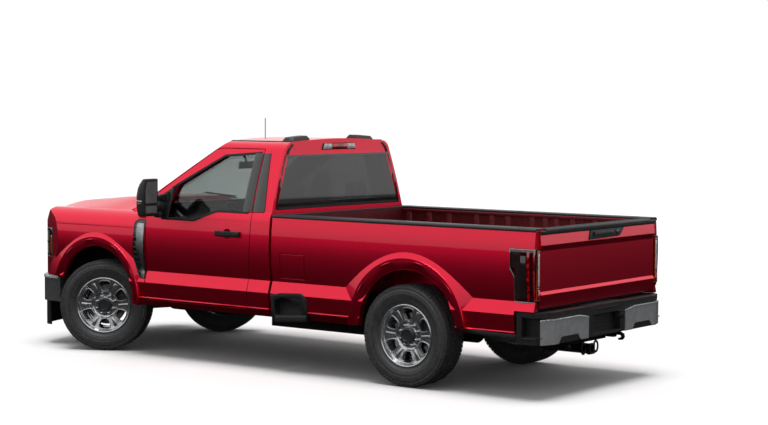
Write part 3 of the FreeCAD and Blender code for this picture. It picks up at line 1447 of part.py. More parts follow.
def make_axles():
    """Make the front axle, with coils and a yoke at each kingpin, and the rear axle with its leaf springs."""
    front_springs, rear_springs = make_suspension()
    kingpin = S.track_front / 2 - S.kingpin_inset
    yoke_in = kingpin - S.yoke_depth
    tube = cylinder("front_tube", "Y", front_axle, -yoke_in, S.wheel_radius, S.axle_tube_radius, yoke_in * 2)
    diff = cylinder("front_diff", "X", front_axle - S.axle_diff_radius / 2, -S.diff_offset, S.wheel_radius,
                    S.axle_diff_radius, S.axle_diff_radius)
    height = S.knuckle_height + S.pin_gap * 2
    yoke = box("yoke_form", front_axle - S.kingpin_radius * 1.5, yoke_in, S.wheel_radius - height / 2 - S.yoke_ear,
               S.kingpin_radius * 3, S.yoke_depth + S.kingpin_radius, height + S.yoke_ear * 2)
    gap = box("yoke_gap", front_axle - S.overrun, yoke_in + S.yoke_ear, S.wheel_radius - height / 2,
              S.overrun * 2, S.overrun, height)
    yoke = cut("yoke_left", yoke, gap)
    keep(fuse("front_axle_solid", tube, diff, yoke, mirror("yoke_right", yoke), *front_springs), "front_axle")
    end = S.track_rear / 2 + S.rim_face_reach - S.rim_face_thickness - S.pin_gap
    tube = cylinder("rear_spindles", "Y", rear_axle, -end, S.wheel_radius, S.spindle_radius, end * 2)
    disc_in = S.track_rear / 2 - S.kingpin_inset + S.disc_start
    fat = cylinder("rear_tube", "Y", rear_axle, -disc_in, S.wheel_radius, S.axle_tube_radius, disc_in * 2)
    disc = cylinder("rear_disc", "Y", rear_axle, disc_in, S.wheel_radius, S.disc_radius, S.disc_thickness)
    diff = cylinder("rear_diff", "X", rear_axle - S.axle_diff_radius / 2, 0, S.wheel_radius, S.axle_diff_radius,
                    S.axle_diff_radius)
    disc_right = mirror("rear_disc_right", disc)
    keep(fuse("rear_axle_solid", tube, fat, disc, disc_right, diff, *rear_springs), "rear_axle")


# Where each cross member lies, as a share of the rails' length from their front ends.
CROSS_MEMBER_SHARES = (0.04, 0.34, 0.5, 0.78, 0.98)


def make_frame(bumper):
    """Make the ladder frame: kicked-up rails, cross members, bumper brackets, engine and body mounts."""
    rail_height = S.frame_rail_height

    def rail_line(lift):
        return [
            (behind(S.rail_rear_end), S.rail_rear_bottom + lift),
            (behind(S.rail_rear_kick + S.rail_kick_length), S.rail_rear_bottom + lift),
            (behind(S.rail_rear_kick), S.rail_middle_bottom + lift),
            (behind(S.rail_front_kick + S.rail_kick_length), S.rail_middle_bottom + lift),
            (behind(S.rail_front_kick), S.rail_front_bottom + lift),
            (ahead(S.rail_front_end), S.rail_front_bottom + lift),
        ]
    rail = slab("rail", "XZ", rail_line(0) + list(reversed(rail_line(rail_height))), S.frame_half_width,
                S.frame_rail_width)
    inside = S.frame_half_width - S.frame_rail_width
    members = []
    top = S.rail_middle_bottom + rail_height
    bottoms = (S.rail_front_bottom, S.rail_middle_bottom - S.cross_member_height, top - S.cross_member_height,
               S.rail_rear_bottom + S.cross_member_height, S.rail_rear_bottom)
    for number, (place_share, bottom) in enumerate(zip(CROSS_MEMBER_SHARES, bottoms)):
        x = ahead(S.rail_front_end) - (S.rail_front_end + S.rail_rear_end) * place_share
        below = number == 1
        half = S.frame_half_width if below else inside
        members.append(box(f"cross_member_{number}", x - S.cross_member_depth / 2, -half, bottom,
                           S.cross_member_depth, half * 2, S.cross_member_height))
    rail_in = S.frame_half_width - S.frame_rail_width
    front = box("front_bracket", ahead(S.rail_front_end) - S.shut_gap, rail_in, S.rail_front_bottom,
                S.front_bracket_reach - S.rail_front_end + S.shut_gap, S.frame_rail_width,
                S.front_bumper_top - S.rail_front_bottom)
    rear_end = rear_axle - S.rear_overhang + S.bumper_panel_thickness + S.rear_bumper_wall
    bracket_top = S.rear_bumper_top - S.rear_bumper_wall
    rear = box("rear_bracket", rear_end, rail_in, S.rail_rear_bottom, behind(S.rail_rear_end) - rear_end,
               S.frame_rail_width, bracket_top - S.rail_rear_bottom)
    engine_mount = box("engine_mount", ahead(S.engine_front - S.engine_length / 2), S.engine_width / 2,
                       S.rail_front_bottom + S.cross_member_height, S.cross_member_depth,
                       rail_in - S.engine_width / 2, S.cross_member_depth)
    gap = S.floor_height - S.floor_thickness - S.rail_middle_bottom - rail_height
    pads = []
    for number, (back, base) in enumerate((
        (S.pad_cab_front, S.rail_middle_bottom), (S.pad_cab_rear, S.rail_middle_bottom),
        (S.pad_bed_front, S.rail_rear_bottom), (S.pad_bed_rear, S.rail_rear_bottom),
    )):
        height = S.bed_floor_height - S.bed_floor_thickness - base - rail_height
        if number < 2:
            height = gap
        pads.append(cylinder(f"body_pad_{number}", "Z", behind(back), rail_in + S.frame_rail_width / 2,
                             base + rail_height, S.body_pad_radius, height))
    left = fuse("frame_left", rail, front, rear, engine_mount, *pads)
    frame = fuse("frame_form", left, mirror("frame_right", left), *members)
    keep(cut("frame_solid", frame, bumper), "frame")


def make_suspension():
    """Make the rear leaf springs and front coils, with what ties them to frame and axles."""
    half = S.spring_length / 2
    low = S.wheel_radius + S.axle_tube_radius
    leaf = slab("leaf_left", "XZ", [
        (rear_axle - half, low + S.spring_rise, S.spring_rise),
        (rear_axle + half, low + S.spring_rise),
        (rear_axle + half, low + S.spring_rise + S.spring_thickness / 3, S.spring_thickness * 2 / 3 - S.spring_rise),
        (rear_axle - half, low + S.spring_rise + S.spring_thickness / 3),
    ], S.spring_offset + S.spring_width / 2, S.spring_width)
    hangers = []
    for name, x in (("front", rear_axle + half - S.hanger_length), ("rear", rear_axle - half)):
        hangers.append(box(f"hanger_{name}", x, S.frame_half_width, low + S.spring_rise - S.spring_thickness / 2,
                           S.hanger_length, S.spring_offset + S.spring_width / 2 - S.frame_half_width,
                           S.hanger_height))
    seat = box("leaf_seat", rear_axle - S.spring_width, S.spring_offset - S.spring_width / 2, S.wheel_radius,
               S.spring_width * 2, S.spring_width, S.axle_tube_radius + S.spring_thickness)
    left = fuse("rear_spring_left", leaf, seat, *hangers)
    rear = (left, mirror("rear_spring_right", left))
    coil = cylinder("coil_left", "Z", front_axle, S.coil_offset, S.wheel_radius, S.coil_radius,
                    S.coil_height + S.axle_tube_radius)
    tower = box("coil_tower", front_axle - S.coil_radius, S.frame_half_width,
                S.wheel_radius + S.axle_tube_radius + S.coil_height, S.coil_radius * 2,
                S.coil_offset + S.coil_radius - S.frame_half_width, S.yoke_ear)
    left = fuse("front_spring_left", coil, tower)
    return (left, mirror("front_spring_right", left)), rear


def make_driveline():
    """Make the engine block, the gearbox with the shaft to the rear, the tank and the exhaust."""
    keep(box("engine_solid", ahead(S.engine_front) - S.engine_length, -S.engine_width / 2, S.engine_bottom,
             S.engine_length, S.engine_width, S.engine_height), "engine")
    gearbox_front = ahead(S.engine_front) - S.engine_length
    gearbox = cone("gearbox", "X", gearbox_front - S.gearbox_length, 0, S.shaft_height, S.shaft_radius,
                   S.gearbox_radius, S.gearbox_length)
    shaft_rear = rear_axle + S.axle_diff_radius / 2
    flange = cylinder("rear_shaft_flange", "X", shaft_rear, 0, S.wheel_radius, S.shaft_radius * 1.3, S.shaft_radius)
    shaft = rod("rear_shaft", (shaft_rear + S.shaft_radius / 2, 0, S.wheel_radius),
                (gearbox_front - S.gearbox_length, 0, S.shaft_height), S.shaft_radius)
    keep(fuse("driveline_solid", gearbox, flange, shaft), "driveline")
    keep(box("fuel_tank_solid", behind(S.tank_front + S.tank_length), S.frame_half_width - S.tank_width
             - S.frame_rail_width, S.tank_bottom, S.tank_length, S.tank_width, S.tank_height), "fuel_tank")
    muffler = cylinder("muffler", "X", behind(S.tank_front + S.muffler_length), -S.muffler_offset, S.exhaust_height,
                       S.muffler_radius, S.muffler_length)
    pipe = cylinder("exhaust_pipe", "X", behind(S.exhaust_rear), -S.muffler_offset, S.exhaust_height,
                    S.pipe_radius, S.exhaust_rear - S.exhaust_front)
    hanger_top = S.rail_middle_bottom + S.frame_rail_height - S.cross_member_height
    hanger = box("exhaust_hanger", ahead(S.rail_front_end) - (S.rail_front_end + S.rail_rear_end) / 2,
                 -S.muffler_offset - S.pipe_radius / 2, S.exhaust_height, S.pipe_radius, S.pipe_radius,
                 hanger_top - S.exhaust_height)
    keep(fuse("exhaust_solid", muffler, pipe, hanger), "exhaust")
    keep(cylinder("spare_wheel_solid", "Z", behind(S.spare_back), 0, S.rail_rear_bottom - S.spare_thickness,
                  S.spare_radius, S.spare_thickness), "spare_wheel")
    bar = box("hitch_bar", behind(S.rail_rear_end), -S.frame_half_width, S.hitch_height + S.hitch_tube / 2,
              S.hitch_bar_height, S.frame_half_width * 2, S.rail_rear_bottom - S.hitch_height - S.hitch_tube / 2)
    tube_rear = behind(S.rail_rear_end) - S.hitch_reach
    tube = box("hitch_receiver", tube_rear, -S.hitch_tube / 2, S.hitch_height - S.hitch_tube / 2,
               S.hitch_length + S.hitch_reach, S.hitch_tube, S.hitch_tube)
    socket = box("hitch_socket", tube_rear, -S.hitch_bore / 2, S.hitch_height - S.hitch_bore / 2,
                 S.hitch_length + S.hitch_reach, S.hitch_bore, S.hitch_bore)
    pin = cylinder("hitch_pin_hole", "Y", tube_rear + S.hitch_pin_back, -S.overrun, S.hitch_height,
                   S.hitch_pin_radius, S.overrun * 2)
    keep(cut("hitch_solid", fuse("hitch_form", bar, tube), socket, pin), "hitch")


def make_inside():
    """Make the bench seat, dashboard and steering wheel."""
    seat = slab("bench_seat_solid", "XZ", [
        (behind(S.seat_front + S.seat_depth), S.floor_height),
        (behind(S.seat_front), S.floor_height),
        (behind(S.seat_front), S.seat_height - S.seat_cushion / 2, S.seat_cushion / 4),
        (behind(S.seat_front + S.seat_depth), S.seat_height - S.seat_cushion),
        (behind(S.seat_front + S.seat_depth + S.seat_lean), S.seat_height + S.seat_back_height),
        (behind(S.seat_front + S.seat_depth + S.seat_lean + S.seat_back_thickness / 2),
         S.seat_height + S.seat_back_height),
        (behind(S.seat_front + S.seat_depth + S.seat_back_thickness), S.seat_height - S.seat_cushion),
    ], S.seat_half_width, S.seat_half_width * 2)
    keep(seat, "bench_seat")
    dash = slab("dashboard_solid", "XZ", [
        (behind(S.firewall + S.dash_depth), S.dash_top - S.dash_lip),
        (behind(S.firewall + S.dash_depth / 2), S.dash_bottom),
        (behind(S.firewall), S.dash_bottom),
        (behind(S.firewall), S.dash_top - S.dash_lip),
        (behind(S.firewall + S.dash_depth - S.dash_lip), S.dash_top),
    ], S.dash_half_width, S.dash_half_width * 2)
    run = cosine(S.steering_tilt)
    rise = sine(S.steering_tilt)
    reach = S.steering_grip * 2 + S.pin_gap
    column = rod("steering_column", (
        behind(S.steering_back) + run * reach, S.steering_offset, S.steering_height - rise * reach,
    ), (
        behind(S.firewall + S.dash_depth / 2), S.steering_offset,
        S.steering_height - rise / run * (S.steering_back - S.firewall - S.dash_depth / 2),
    ), S.column_radius)
    keep(fuse("dashboard_whole", dash, column), "dashboard")
    ring = doc.addObject("Part::Torus", "steering_ring")
    bind(ring, "Radius1", S.steering_radius)
    bind(ring, "Radius2", S.steering_grip)
    hub = cylinder("steering_hub", "Z", 0, 0, -S.steering_grip * 2, S.column_radius, S.steering_grip * 3)
    spoke = box("steering_spoke", -S.steering_grip, -S.steering_radius, -S.steering_grip / 2, S.steering_grip * 2,
                S.steering_radius * 2, S.steering_grip)
    wheel = fuse("steering_wheel_solid", ring, hub, spoke)
    wheel.Placement = FreeCAD.Placement(
        FreeCAD.Vector(), FreeCAD.Rotation(FreeCAD.Vector(0, 1, 0), S.steering_tilt.number - 90))
    place(wheel, behind(S.steering_back), S.steering_offset, S.steering_height)
    keep(wheel, "steering_wheel")


def make_mirrors_and_mast(fender, door):
    """Make the towing mirrors on their arms, and the aerial mast."""
    head = slab("mirror_head", "XZ", [
        (behind(S.mirror_rear), S.mirror_bottom),
        (behind(S.mirror_front + S.mirror_taper), S.mirror_bottom),
        (behind(S.mirror_front), S.mirror_bottom + S.mirror_taper * 2),
        (behind(S.mirror_front), S.mirror_top - S.mirror_taper * 3),
        (behind(S.mirror_front + S.mirror_taper), S.mirror_top),
        (behind(S.mirror_rear), S.mirror_top),
    ], S.mirror_reach + S.mirror_half_width, S.mirror_half_width * 2)
    arms = []
    for name, height in (("low", S.mirror_arm_low), ("high", S.mirror_arm_high)):
        arms.append(rod(f"mirror_arm_{name}", (behind(S.mirror_arm_back), S.mirror_arm_start, height),
                        (behind((S.mirror_front + S.mirror_rear) / 2), S.mirror_reach, height),
                        S.mirror_arm_radius))
    left = keep(cut("mirror_left_solid", fuse("mirror_left_form", head, *arms), door), "mirror_left")
    keep(mirror("mirror_right_solid", left), "mirror_right")
    mast = cylinder("mast_form", "Z", behind(S.mast_back), S.mast_offset, S.mast_bottom, S.mast_radius,
                    S.mast_top - S.mast_bottom)
    keep(mirror("mast_right", cut("mast_solid", mast, fender)), "aerial_mast")


door_left = make_cab()
fender_left = make_front_body()
front_bumper = make_front_bumper()
make_bed()
make_tailgate()
make_rear_bumper()
make_wheels()
make_knuckles()
make_axles()
make_frame(front_bumper)
make_driveline()
make_inside()
make_mirrors_and_mast(fender_left, door_left)
doc.recompute()
for item in doc.Objects:
    if "Invalid" in item.State or "Error" in item.State:
        raise RuntimeError(f"{item.Name} failed")
os.makedirs("parts", exist_ok=True)
for item in parts:
    if item.Shape.isNull() or not item.Shape.isValid():
        raise RuntimeError(f"{item.Label} is not a valid shape")
    item.Shape.exportStep(f"parts/{item.Label}.step")
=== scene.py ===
# A full-size pickup truck with a two-door cab and a long load bed, dressed on its construction model.
import json
import math
import bpy
from mathutils import Matrix, Vector


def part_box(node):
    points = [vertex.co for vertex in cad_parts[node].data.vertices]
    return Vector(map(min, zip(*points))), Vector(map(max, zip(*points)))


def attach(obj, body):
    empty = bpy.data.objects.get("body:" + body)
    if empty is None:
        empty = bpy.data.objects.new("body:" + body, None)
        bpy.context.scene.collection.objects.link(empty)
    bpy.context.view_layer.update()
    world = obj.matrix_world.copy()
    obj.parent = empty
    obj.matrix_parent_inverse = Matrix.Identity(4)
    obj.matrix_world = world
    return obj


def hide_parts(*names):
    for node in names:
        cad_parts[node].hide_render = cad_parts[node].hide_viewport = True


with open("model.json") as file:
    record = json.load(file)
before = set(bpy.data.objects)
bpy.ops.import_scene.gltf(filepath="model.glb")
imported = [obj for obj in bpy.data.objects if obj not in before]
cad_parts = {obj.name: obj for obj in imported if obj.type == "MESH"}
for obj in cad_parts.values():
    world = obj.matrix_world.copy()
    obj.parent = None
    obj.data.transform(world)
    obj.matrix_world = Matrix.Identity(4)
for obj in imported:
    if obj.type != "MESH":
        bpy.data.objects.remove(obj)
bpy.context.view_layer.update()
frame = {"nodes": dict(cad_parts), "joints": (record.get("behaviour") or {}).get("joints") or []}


# Camera: a long lens on a low stand, off the truck's rear left corner, as a catalogue
# picture is taken. Its place and turn put the truck's outline where the photograph has it.
sight = Vector((0.596408, -0.800376, -0.060787))
lens_roll = math.radians(0.344)
bpy.ops.object.camera_add(location=(-10.3141, 12.9495, 2.3416))
camera = bpy.context.object
across = sight.cross(Vector((0, 0, 1))).normalized()
upright = across.cross(sight)
across_rolled = math.cos(lens_roll) * across + math.sin(lens_roll) * upright
upright_rolled = math.cos(lens_roll) * upright - math.sin(lens_roll) * across
camera.matrix_world = Matrix.Translation(camera.location) @ Matrix((across_rolled, upright_rolled,
    -sight)).transposed().to_4x4()
camera.data.lens = 85.0
camera.data.sensor_width = 36.0
camera.data.clip_end = 400
bpy.context.scene.camera = camera
bpy.context.scene.view_settings.view_transform = "Standard"


# Studio: a white floor and a white surround, with one wide soft lamp overhead, so
# that the shadow lies under the truck and the faces that look up are the bright ones.
def srgb(text):
    """A colour written as six hex digits, turned to the linear values that a shader takes."""
    shares = [int(text[i:i + 2], 16) / 255 for i in (1, 3, 5)]
    linear = [c / 12.92 if c <= 0.04045 else ((c + 0.055) / 1.055) ** 2.4 for c in shares]
    return (*linear, 1)


def add(tree, kind, settings=None, **links):
    """Adds a node: settings are its own properties, links are values or other nodes' sockets by input name."""
    made = tree.nodes.new(kind)
    for name, value in (settings or {}).items():
        setattr(made, name, value)
    for name, value in links.items():
        numbered = name[0] == "n" and name[1:].isdigit()
        socket = made.inputs[int(name[1:]) if numbered else name.replace("_", " ")]
        if isinstance(value, bpy.types.NodeSocket):
            tree.links.new(value, socket)
        else:
            socket.default_value = value
    return made


def seen_or_mirrored(tree):
    """1 where the camera, a mirror face or a clear piece looks at this, and 0 for light that falls on it."""
    rays = add(tree, "ShaderNodeLightPath")
    direct = add(tree, "ShaderNodeMath", {"operation": "MAXIMUM"}, n0=rays.outputs["Is Camera Ray"],
        n1=rays.outputs["Is Glossy Ray"])
    return add(tree, "ShaderNodeMath", {"operation": "MAXIMUM"}, n0=direct.outputs[0],
        n1=rays.outputs["Is Transmission Ray"]).outputs[0]


world = bpy.data.worlds.new("white_surround")
bpy.context.scene.world = world
world.use_nodes = True
sky = world.node_tree
sky.nodes.clear()
fill = add(sky, "ShaderNodeBackground", Color=srgb("#FFFFFF"), Strength=0.42)
backdrop = add(sky, "ShaderNodeBackground", Color=srgb("#FFFFFF"), Strength=1.0)
either = add(sky, "ShaderNodeMixShader", n0=seen_or_mirrored(sky), n1=fill.outputs[0],
    n2=backdrop.outputs[0])
add(sky, "ShaderNodeOutputWorld", Surface=either.outputs[0])

bpy.ops.mesh.primitive_circle_add(vertices=96, radius=90, fill_type="NGON", location=(0, 0, 0))
floor = bpy.context.object
floor.name = "floor"
floor_paint = bpy.data.materials.new("white_floor_paint")
floor.data.materials.append(floor_paint)
floor_paint.use_nodes = True
tree = floor_paint.node_tree
tree.nodes.clear()
bright = add(tree, "ShaderNodeBsdfDiffuse", Color=srgb("#FFFFFF"))
dim = add(tree, "ShaderNodeBsdfDiffuse", Color=srgb("#8C8C8C"))
shown = add(tree, "ShaderNodeMixShader", n0=seen_or_mirrored(tree), n1=dim.outputs[0], n2=bright.outputs[0])
add(tree, "ShaderNodeOutputMaterial", Surface=shown.outputs[0])

# Black flags: a mat and a low curtain round the truck, seen in its lacquer and chrome
# only, which give the upright faces a dark lower half with a sharp line across it.
flag_radius = 9.0
flag_height = 1.35
bpy.ops.mesh.primitive_circle_add(vertices=96, radius=flag_radius, fill_type="NGON", location=(0, 0, 0.004))
flag = bpy.context.object
flag.name = "black_flag"
bpy.ops.object.mode_set(mode="EDIT")
bpy.ops.mesh.select_all(action="SELECT")
bpy.ops.mesh.extrude_region_move(TRANSFORM_OT_translate={"value": (0, 0, flag_height)})
bpy.ops.mesh.delete(type="ONLY_FACE")
bpy.ops.object.mode_set(mode="OBJECT")
black_cloth = bpy.data.materials.new("black_duvetyne_cloth")
black_cloth.use_nodes = True
tree = black_cloth.node_tree
tree.nodes.clear()
faint = add(tree, "ShaderNodeEmission", Color=srgb("#0E0E0E"), Strength=1.0)
add(tree, "ShaderNodeOutputMaterial", Surface=faint.outputs[0])
flag.data.materials.append(black_cloth)
flag.visible_camera = False
flag.visible_diffuse = False
flag.visible_transmission = False
flag.visible_shadow = False

bpy.ops.object.light_add(type="SUN", location=(0, 0, 9))
overhead = bpy.context.object
overhead.name = "overhead_soft_lamp"
overhead.data.energy = 2.1
overhead.data.angle = math.radians(34)
overhead.rotation_euler = (math.radians(-4), math.radians(-3), 0)


# Body paint: sheet steel and aluminium panels, sprayed with a deep red metallic and a clear lacquer. The eye
# gets a dark red that lights up where a panel turns upwards, a fine sparkle, and sharp lacquer reflections.
def grain(tree, size_mm, detail=2):
    """A noise whose blobs are about size_mm wide, on the piece's own metres."""
    place = add(tree, "ShaderNodeTexCoord")
    return add(tree, "ShaderNodeTexNoise", Vector=place.outputs["Object"], Scale=1000 / size_mm,
        Detail=detail, Roughness=0.55).outputs[0]


def vary(tree, factor, low, high, start=0.35, end=0.65):
    """Two colours or values blended by a factor between start and end."""
    ramp = add(tree, "ShaderNodeValToRGB", n0=factor)
    ramp.color_ramp.elements[0].position = start
    ramp.color_ramp.elements[1].position = end
    ramp.color_ramp.elements[0].color = low
    ramp.color_ramp.elements[1].color = high
    return ramp.outputs[0]


def relief(tree, shader, height, depth_mm, soft_edge_mm=0, coat=False):
    """Bumps of depth_mm from a 0 to 1 height, over edges that look rounded by soft_edge_mm."""
    bump = add(tree, "ShaderNodeBump", Height=height, Strength=1.0, Distance=depth_mm / 1000)
    if soft_edge_mm:
        edge = add(tree, "ShaderNodeBevel", {"samples": 4}, Radius=soft_edge_mm / 1000)
        tree.links.new(edge.outputs[0], bump.inputs["Normal"])
        if coat:
            tree.links.new(edge.outputs[0], shader.inputs["Coat Normal"])
    tree.links.new(bump.outputs[0], shader.inputs["Normal"])


def new_finish(name, slot_name, blobs, low, high, spread=(0.35, 0.65), bumps=None, coat=False, **settings):
    """A new material, its colour between two in blobs; settings are the shader's socket values. slot_name is
    not used.
    """
    made = bpy.data.materials.new(name)
    made.use_nodes = True
    tree = made.node_tree
    tree.nodes.clear()
    shader = add(tree, "ShaderNodeBsdfPrincipled", **settings)
    add(tree, "ShaderNodeOutputMaterial", Surface=shader.outputs[0])
    tree.links.new(vary(tree, grain(tree, *blobs), srgb(low), srgb(high), *spread),
        shader.inputs["Base Color"])
    if bumps:
        relief(tree, shader, grain(tree, *bumps[:2]), *bumps[2:], coat=coat)
    return made


paint = new_finish("red_metallic_lacquer", "paint", (1.6, 1), "#D80C2C", "#FF1A48", spread=(0.3, 0.72),
    bumps=(3.0, 2, 0.012, 5), coat=True, Metallic=0.94, Roughness=0.33, Coat_Weight=0.55,
    Coat_Roughness=0.02)


def dress(made, *names):
    """Gives CAD nodes a finish."""
    for name in names:
        piece = frame["nodes"][name]
        piece.data.materials.clear()
        piece.data.materials.append(made)


dress(paint, "cab_roof", "cab_side_left", "cab_side_right", "cab_back_panel", "door_left", "door_right",
    "fender_left", "fender_right", "hood", "bedside_left", "bedside_right", "tailgate", "fuel_door",
    "bed_floor", "cab_floor")


# Black trim: moulded polypropylene with a fine grain. The eye gets a soft grey sheen and no clear reflection.
trim = new_finish("grained_black_polypropylene", "black_plastic", (40, 3), "#161617", "#222224",
    bumps=(1.5, 2, 0.1, 3), Roughness=0.5, Specular_IOR_Level=0.4)
dress(trim, "rail_caps", "mirror_left", "mirror_right", "cowl", "dashboard", "grille", "air_dam",
    "rear_bumper", "steering_wheel", "aerial_mast", "radiator_core")


# Glass: laminated in front, tinted in the doors and dark privacy glass behind. The
# eye gets a clear, a dark and an even grey pane, each with a sharp reflection.
tinted = new_finish("grey_tinted_tempered_glass", "dark_glass", (900, 1), "#8F9494", "#999E9E",
    Roughness=0.02, IOR=1.45, Transmission_Weight=1.0)
clear = new_finish("clear_laminated_glass", "clear_glass", (900, 1), "#DCE6E2", "#E6EEEA", Roughness=0.02,
    IOR=1.45, Transmission_Weight=1.0)
privacy = new_finish("grey_privacy_glass", "dark_glass", (900, 1), "#626364", "#686A6B", Roughness=0.03,
    IOR=1.5, Transmission_Weight=0.55)
dress(tinted, "door_glass_left", "door_glass_right")
dress(privacy, "back_glass")
dress(clear, "windscreen")


# Bumpers: thick sheet steel, pressed to shape, polished and plated with nickel and chrome,
# and bolted to the frame's ends. The eye gets a mirror with the soft waves of the pressing.
chrome = new_finish("chrome_plated_steel", "bright_metal", (60, 2), "#C8CACC", "#DADCDE",
    bumps=(160, 1, 0.25, 4), Metallic=0.86, Roughness=0.08)
dress(chrome, "front_bumper", "bumper_panel_left", "bumper_panel_right")


# Rims: cast in one piece from aluminium alloy, turned on a lathe and polished,
# and bolted to the hubs. The eye gets a bright, slightly brushed metal.
alloy = new_finish("polished_cast_alloy", "polished_alloy", (12, 3), "#B6B8BB", "#D0D2D4",
    bumps=(2, 2, 0.02, 2.5), Metallic=0.84, Roughness=0.2)
dress(alloy, "rim_front_left", "rim_front_right", "rim_rear_left", "rim_rear_right")


# Tyres: rubber filled with carbon black over steel cords, moulded and
# cured in a press. The eye gets a dull charcoal with a dusty bloom.
rubber = new_finish("carbon_black_tyre_rubber", "tyre", (25, 4), "#39393A", "#4A4A4B", bumps=(2, 3, 0.15),
    Roughness=0.5, Specular_IOR_Level=0.5)
dress(rubber, "tyre_front_left", "tyre_front_right", "tyre_rear_left", "tyre_rear_right", "spare_wheel")


# Lamps: covers of acrylic and polycarbonate, dyed or clear, moulded and sealed to housings
# that are screwed into the panels. The eye gets a deep colour under a hard gloss.
red_lens = new_finish("smoked_red_acrylic", "red_lens", (30, 2), "#2A0308", "#4A0610", Roughness=0.04,
    Coat_Weight=1.0, Coat_Roughness=0.02)
clear_lens = new_finish("clear_polycarbonate", "clear_lens", (30, 2), "#8A8F92", "#B4B8BA", Roughness=0.05,
    Coat_Weight=1.0, Coat_Roughness=0.02)
dress(red_lens, "tail_lamp_left", "tail_lamp_right")
dress(clear_lens, "headlamp_left", "headlamp_right")


# Chassis: rails of welded steel dipped in black wax, axle cases and an engine of rough cast iron, and
# an exhaust of aluminised pipe hung in rubber. The eye gets dull black, dark grey and a stained silver.
steel = new_finish("black_waxed_steel", "black_steel", (70, 5), "#0E0E0F", "#1B1A19", bumps=(6, 3, 0.2, 3),
    Metallic=0.3, Roughness=0.55)
cast = new_finish("rough_cast_iron", "cast_metal", (35, 5), "#2A2B2C", "#454443", bumps=(4, 4, 0.5, 3),
    Metallic=0.6, Roughness=0.6)
pipe = new_finish("aluminised_steel_pipe", "pipe_metal", (90, 5), "#5A5855", "#7E7B76",
    bumps=(8, 3, 0.1, 2), Metallic=0.9, Roughness=0.42)
dress(steel, "frame", "hitch", "fuel_tank")
dress(cast, "front_axle", "rear_axle", "knuckle_left", "knuckle_right", "engine", "driveline")
dress(pipe, "exhaust")


# Seat cover: polyester yarn, woven, laminated to thin foam and sewn over the
# bench. The eye gets a soft dark grey with a faint fuzz along its edges.
cloth = new_finish("grey_seat_cloth", "seat_cloth", (5, 3), "#2C2D30", "#3E3F42", Roughness=0.85,
    Sheen_Weight=0.3)
dress(cloth, "bench_seat")


# Wheels: each has a radial tyre on a polished cast alloy rim with six
# windows, held by eight nuts, with a steel brake disc behind it. The rubber
# is moulded, its tread in five rows of blocks; the rim is turned bright.
def alone(made):
    """Leaves only this piece selected, and makes it the active one."""
    for other in bpy.context.selected_objects:
        other.select_set(False)
    made.select_set(True)
    bpy.context.view_layer.objects.active = made


def refine(made, kind, **settings):
    """Adds a modifier with its settings and applies it."""
    alone(made)
    change = made.modifiers.new(kind, kind)
    for name, value in settings.items():
        setattr(change, name, value)
    bpy.ops.object.modifier_apply(modifier=change.name)
    return made


def outlined(places, fill="NGON"):
    """A flat outline: a circle's corners are moved to the places."""
    bpy.ops.object.select_all(action="DESELECT")
    bpy.ops.mesh.primitive_circle_add(vertices=len(places), radius=1, fill_type=fill)
    made = bpy.context.object
    for corner, place in zip(made.data.vertices, places):
        corner.co = place
    return made


def spun(profile, steps):
    """A ring round the Y axis from a profile of (radius, y) points."""
    made = outlined([(0, y, radius) for radius, y in profile], "NOTHING")
    bpy.ops.object.mode_set(mode="EDIT")
    bpy.ops.mesh.select_all(action="SELECT")
    bpy.ops.mesh.spin(steps=steps, angle=2 * math.pi, center=(0, 0, 0), axis=(0, 1, 0))
    bpy.ops.mesh.select_all(action="SELECT")
    bpy.ops.mesh.remove_doubles(threshold=0.00002)
    bpy.ops.mesh.dissolve_degenerate(threshold=0.00002)
    bpy.ops.mesh.normals_make_consistent(inside=False)
    bpy.ops.object.mode_set(mode="OBJECT")
    return made


def thickened(made, step):
    """Extrudes a flat piece by a step, and turns its faces outwards."""
    bpy.ops.object.mode_set(mode="EDIT")
    bpy.ops.mesh.select_all(action="SELECT")
    bpy.ops.mesh.extrude_region_move(TRANSFORM_OT_translate={"value": step})
    bpy.ops.mesh.select_all(action="SELECT")
    bpy.ops.mesh.normals_make_consistent(inside=False)
    bpy.ops.object.mode_set(mode="OBJECT")
    return made


def plate(points, axis, start, thick):
    """A plate from its outline, which starts at a place along an axis and is extruded along it."""
    places = {"X": lambda a, b: (start, a, b), "Y": lambda a, b: (a, start, b),
        "Z": lambda a, b: (a, b, start)}
    steps = {"X": (thick, 0, 0), "Y": (0, thick, 0), "Z": (0, 0, thick)}
    return thickened(outlined([places[axis](a, b) for a, b in points]), steps[axis])


def rounded(made, mm, segments=2, angle=30):
    """Rounds a piece's sharp edges by a radius in millimetres."""
    return refine(made, "BEVEL", width=mm / 1000, segments=segments, limit_method="ANGLE",
        angle_limit=math.radians(angle), use_clamp_overlap=True)


def joined(first, *others):
    """Makes one piece of several."""
    alone(first)
    for other in others:
        other.select_set(True)
    bpy.ops.object.join()
    return first


def round_copies(made, count, first_angle=0):
    """Copies a piece round the Y axis and makes one mesh of the copies."""
    alone(made)
    if first_angle:
        made.data.transform(Matrix.Rotation(first_angle, 4, "Y"))
    bpy.ops.object.mode_set(mode="EDIT")
    bpy.ops.mesh.select_all(action="SELECT")
    bpy.ops.mesh.spin(steps=count - 1, angle=2 * math.pi * (count - 1) / count, center=(0, 0, 0),
        axis=(0, 1, 0), dupli=True)
    bpy.ops.object.mode_set(mode="OBJECT")
    return made


def cut_out(made, tool):
    """Takes one closed form out of another."""
    refine(made, "BOOLEAN", operation="DIFFERENCE", object=tool, solver="EXACT")
    bpy.data.objects.remove(tool)


def settled(made):
    """Puts a piece's own place and turn into its mesh."""
    alone(made)
    bpy.ops.object.transform_apply(location=True, rotation=True, scale=True)
    return made


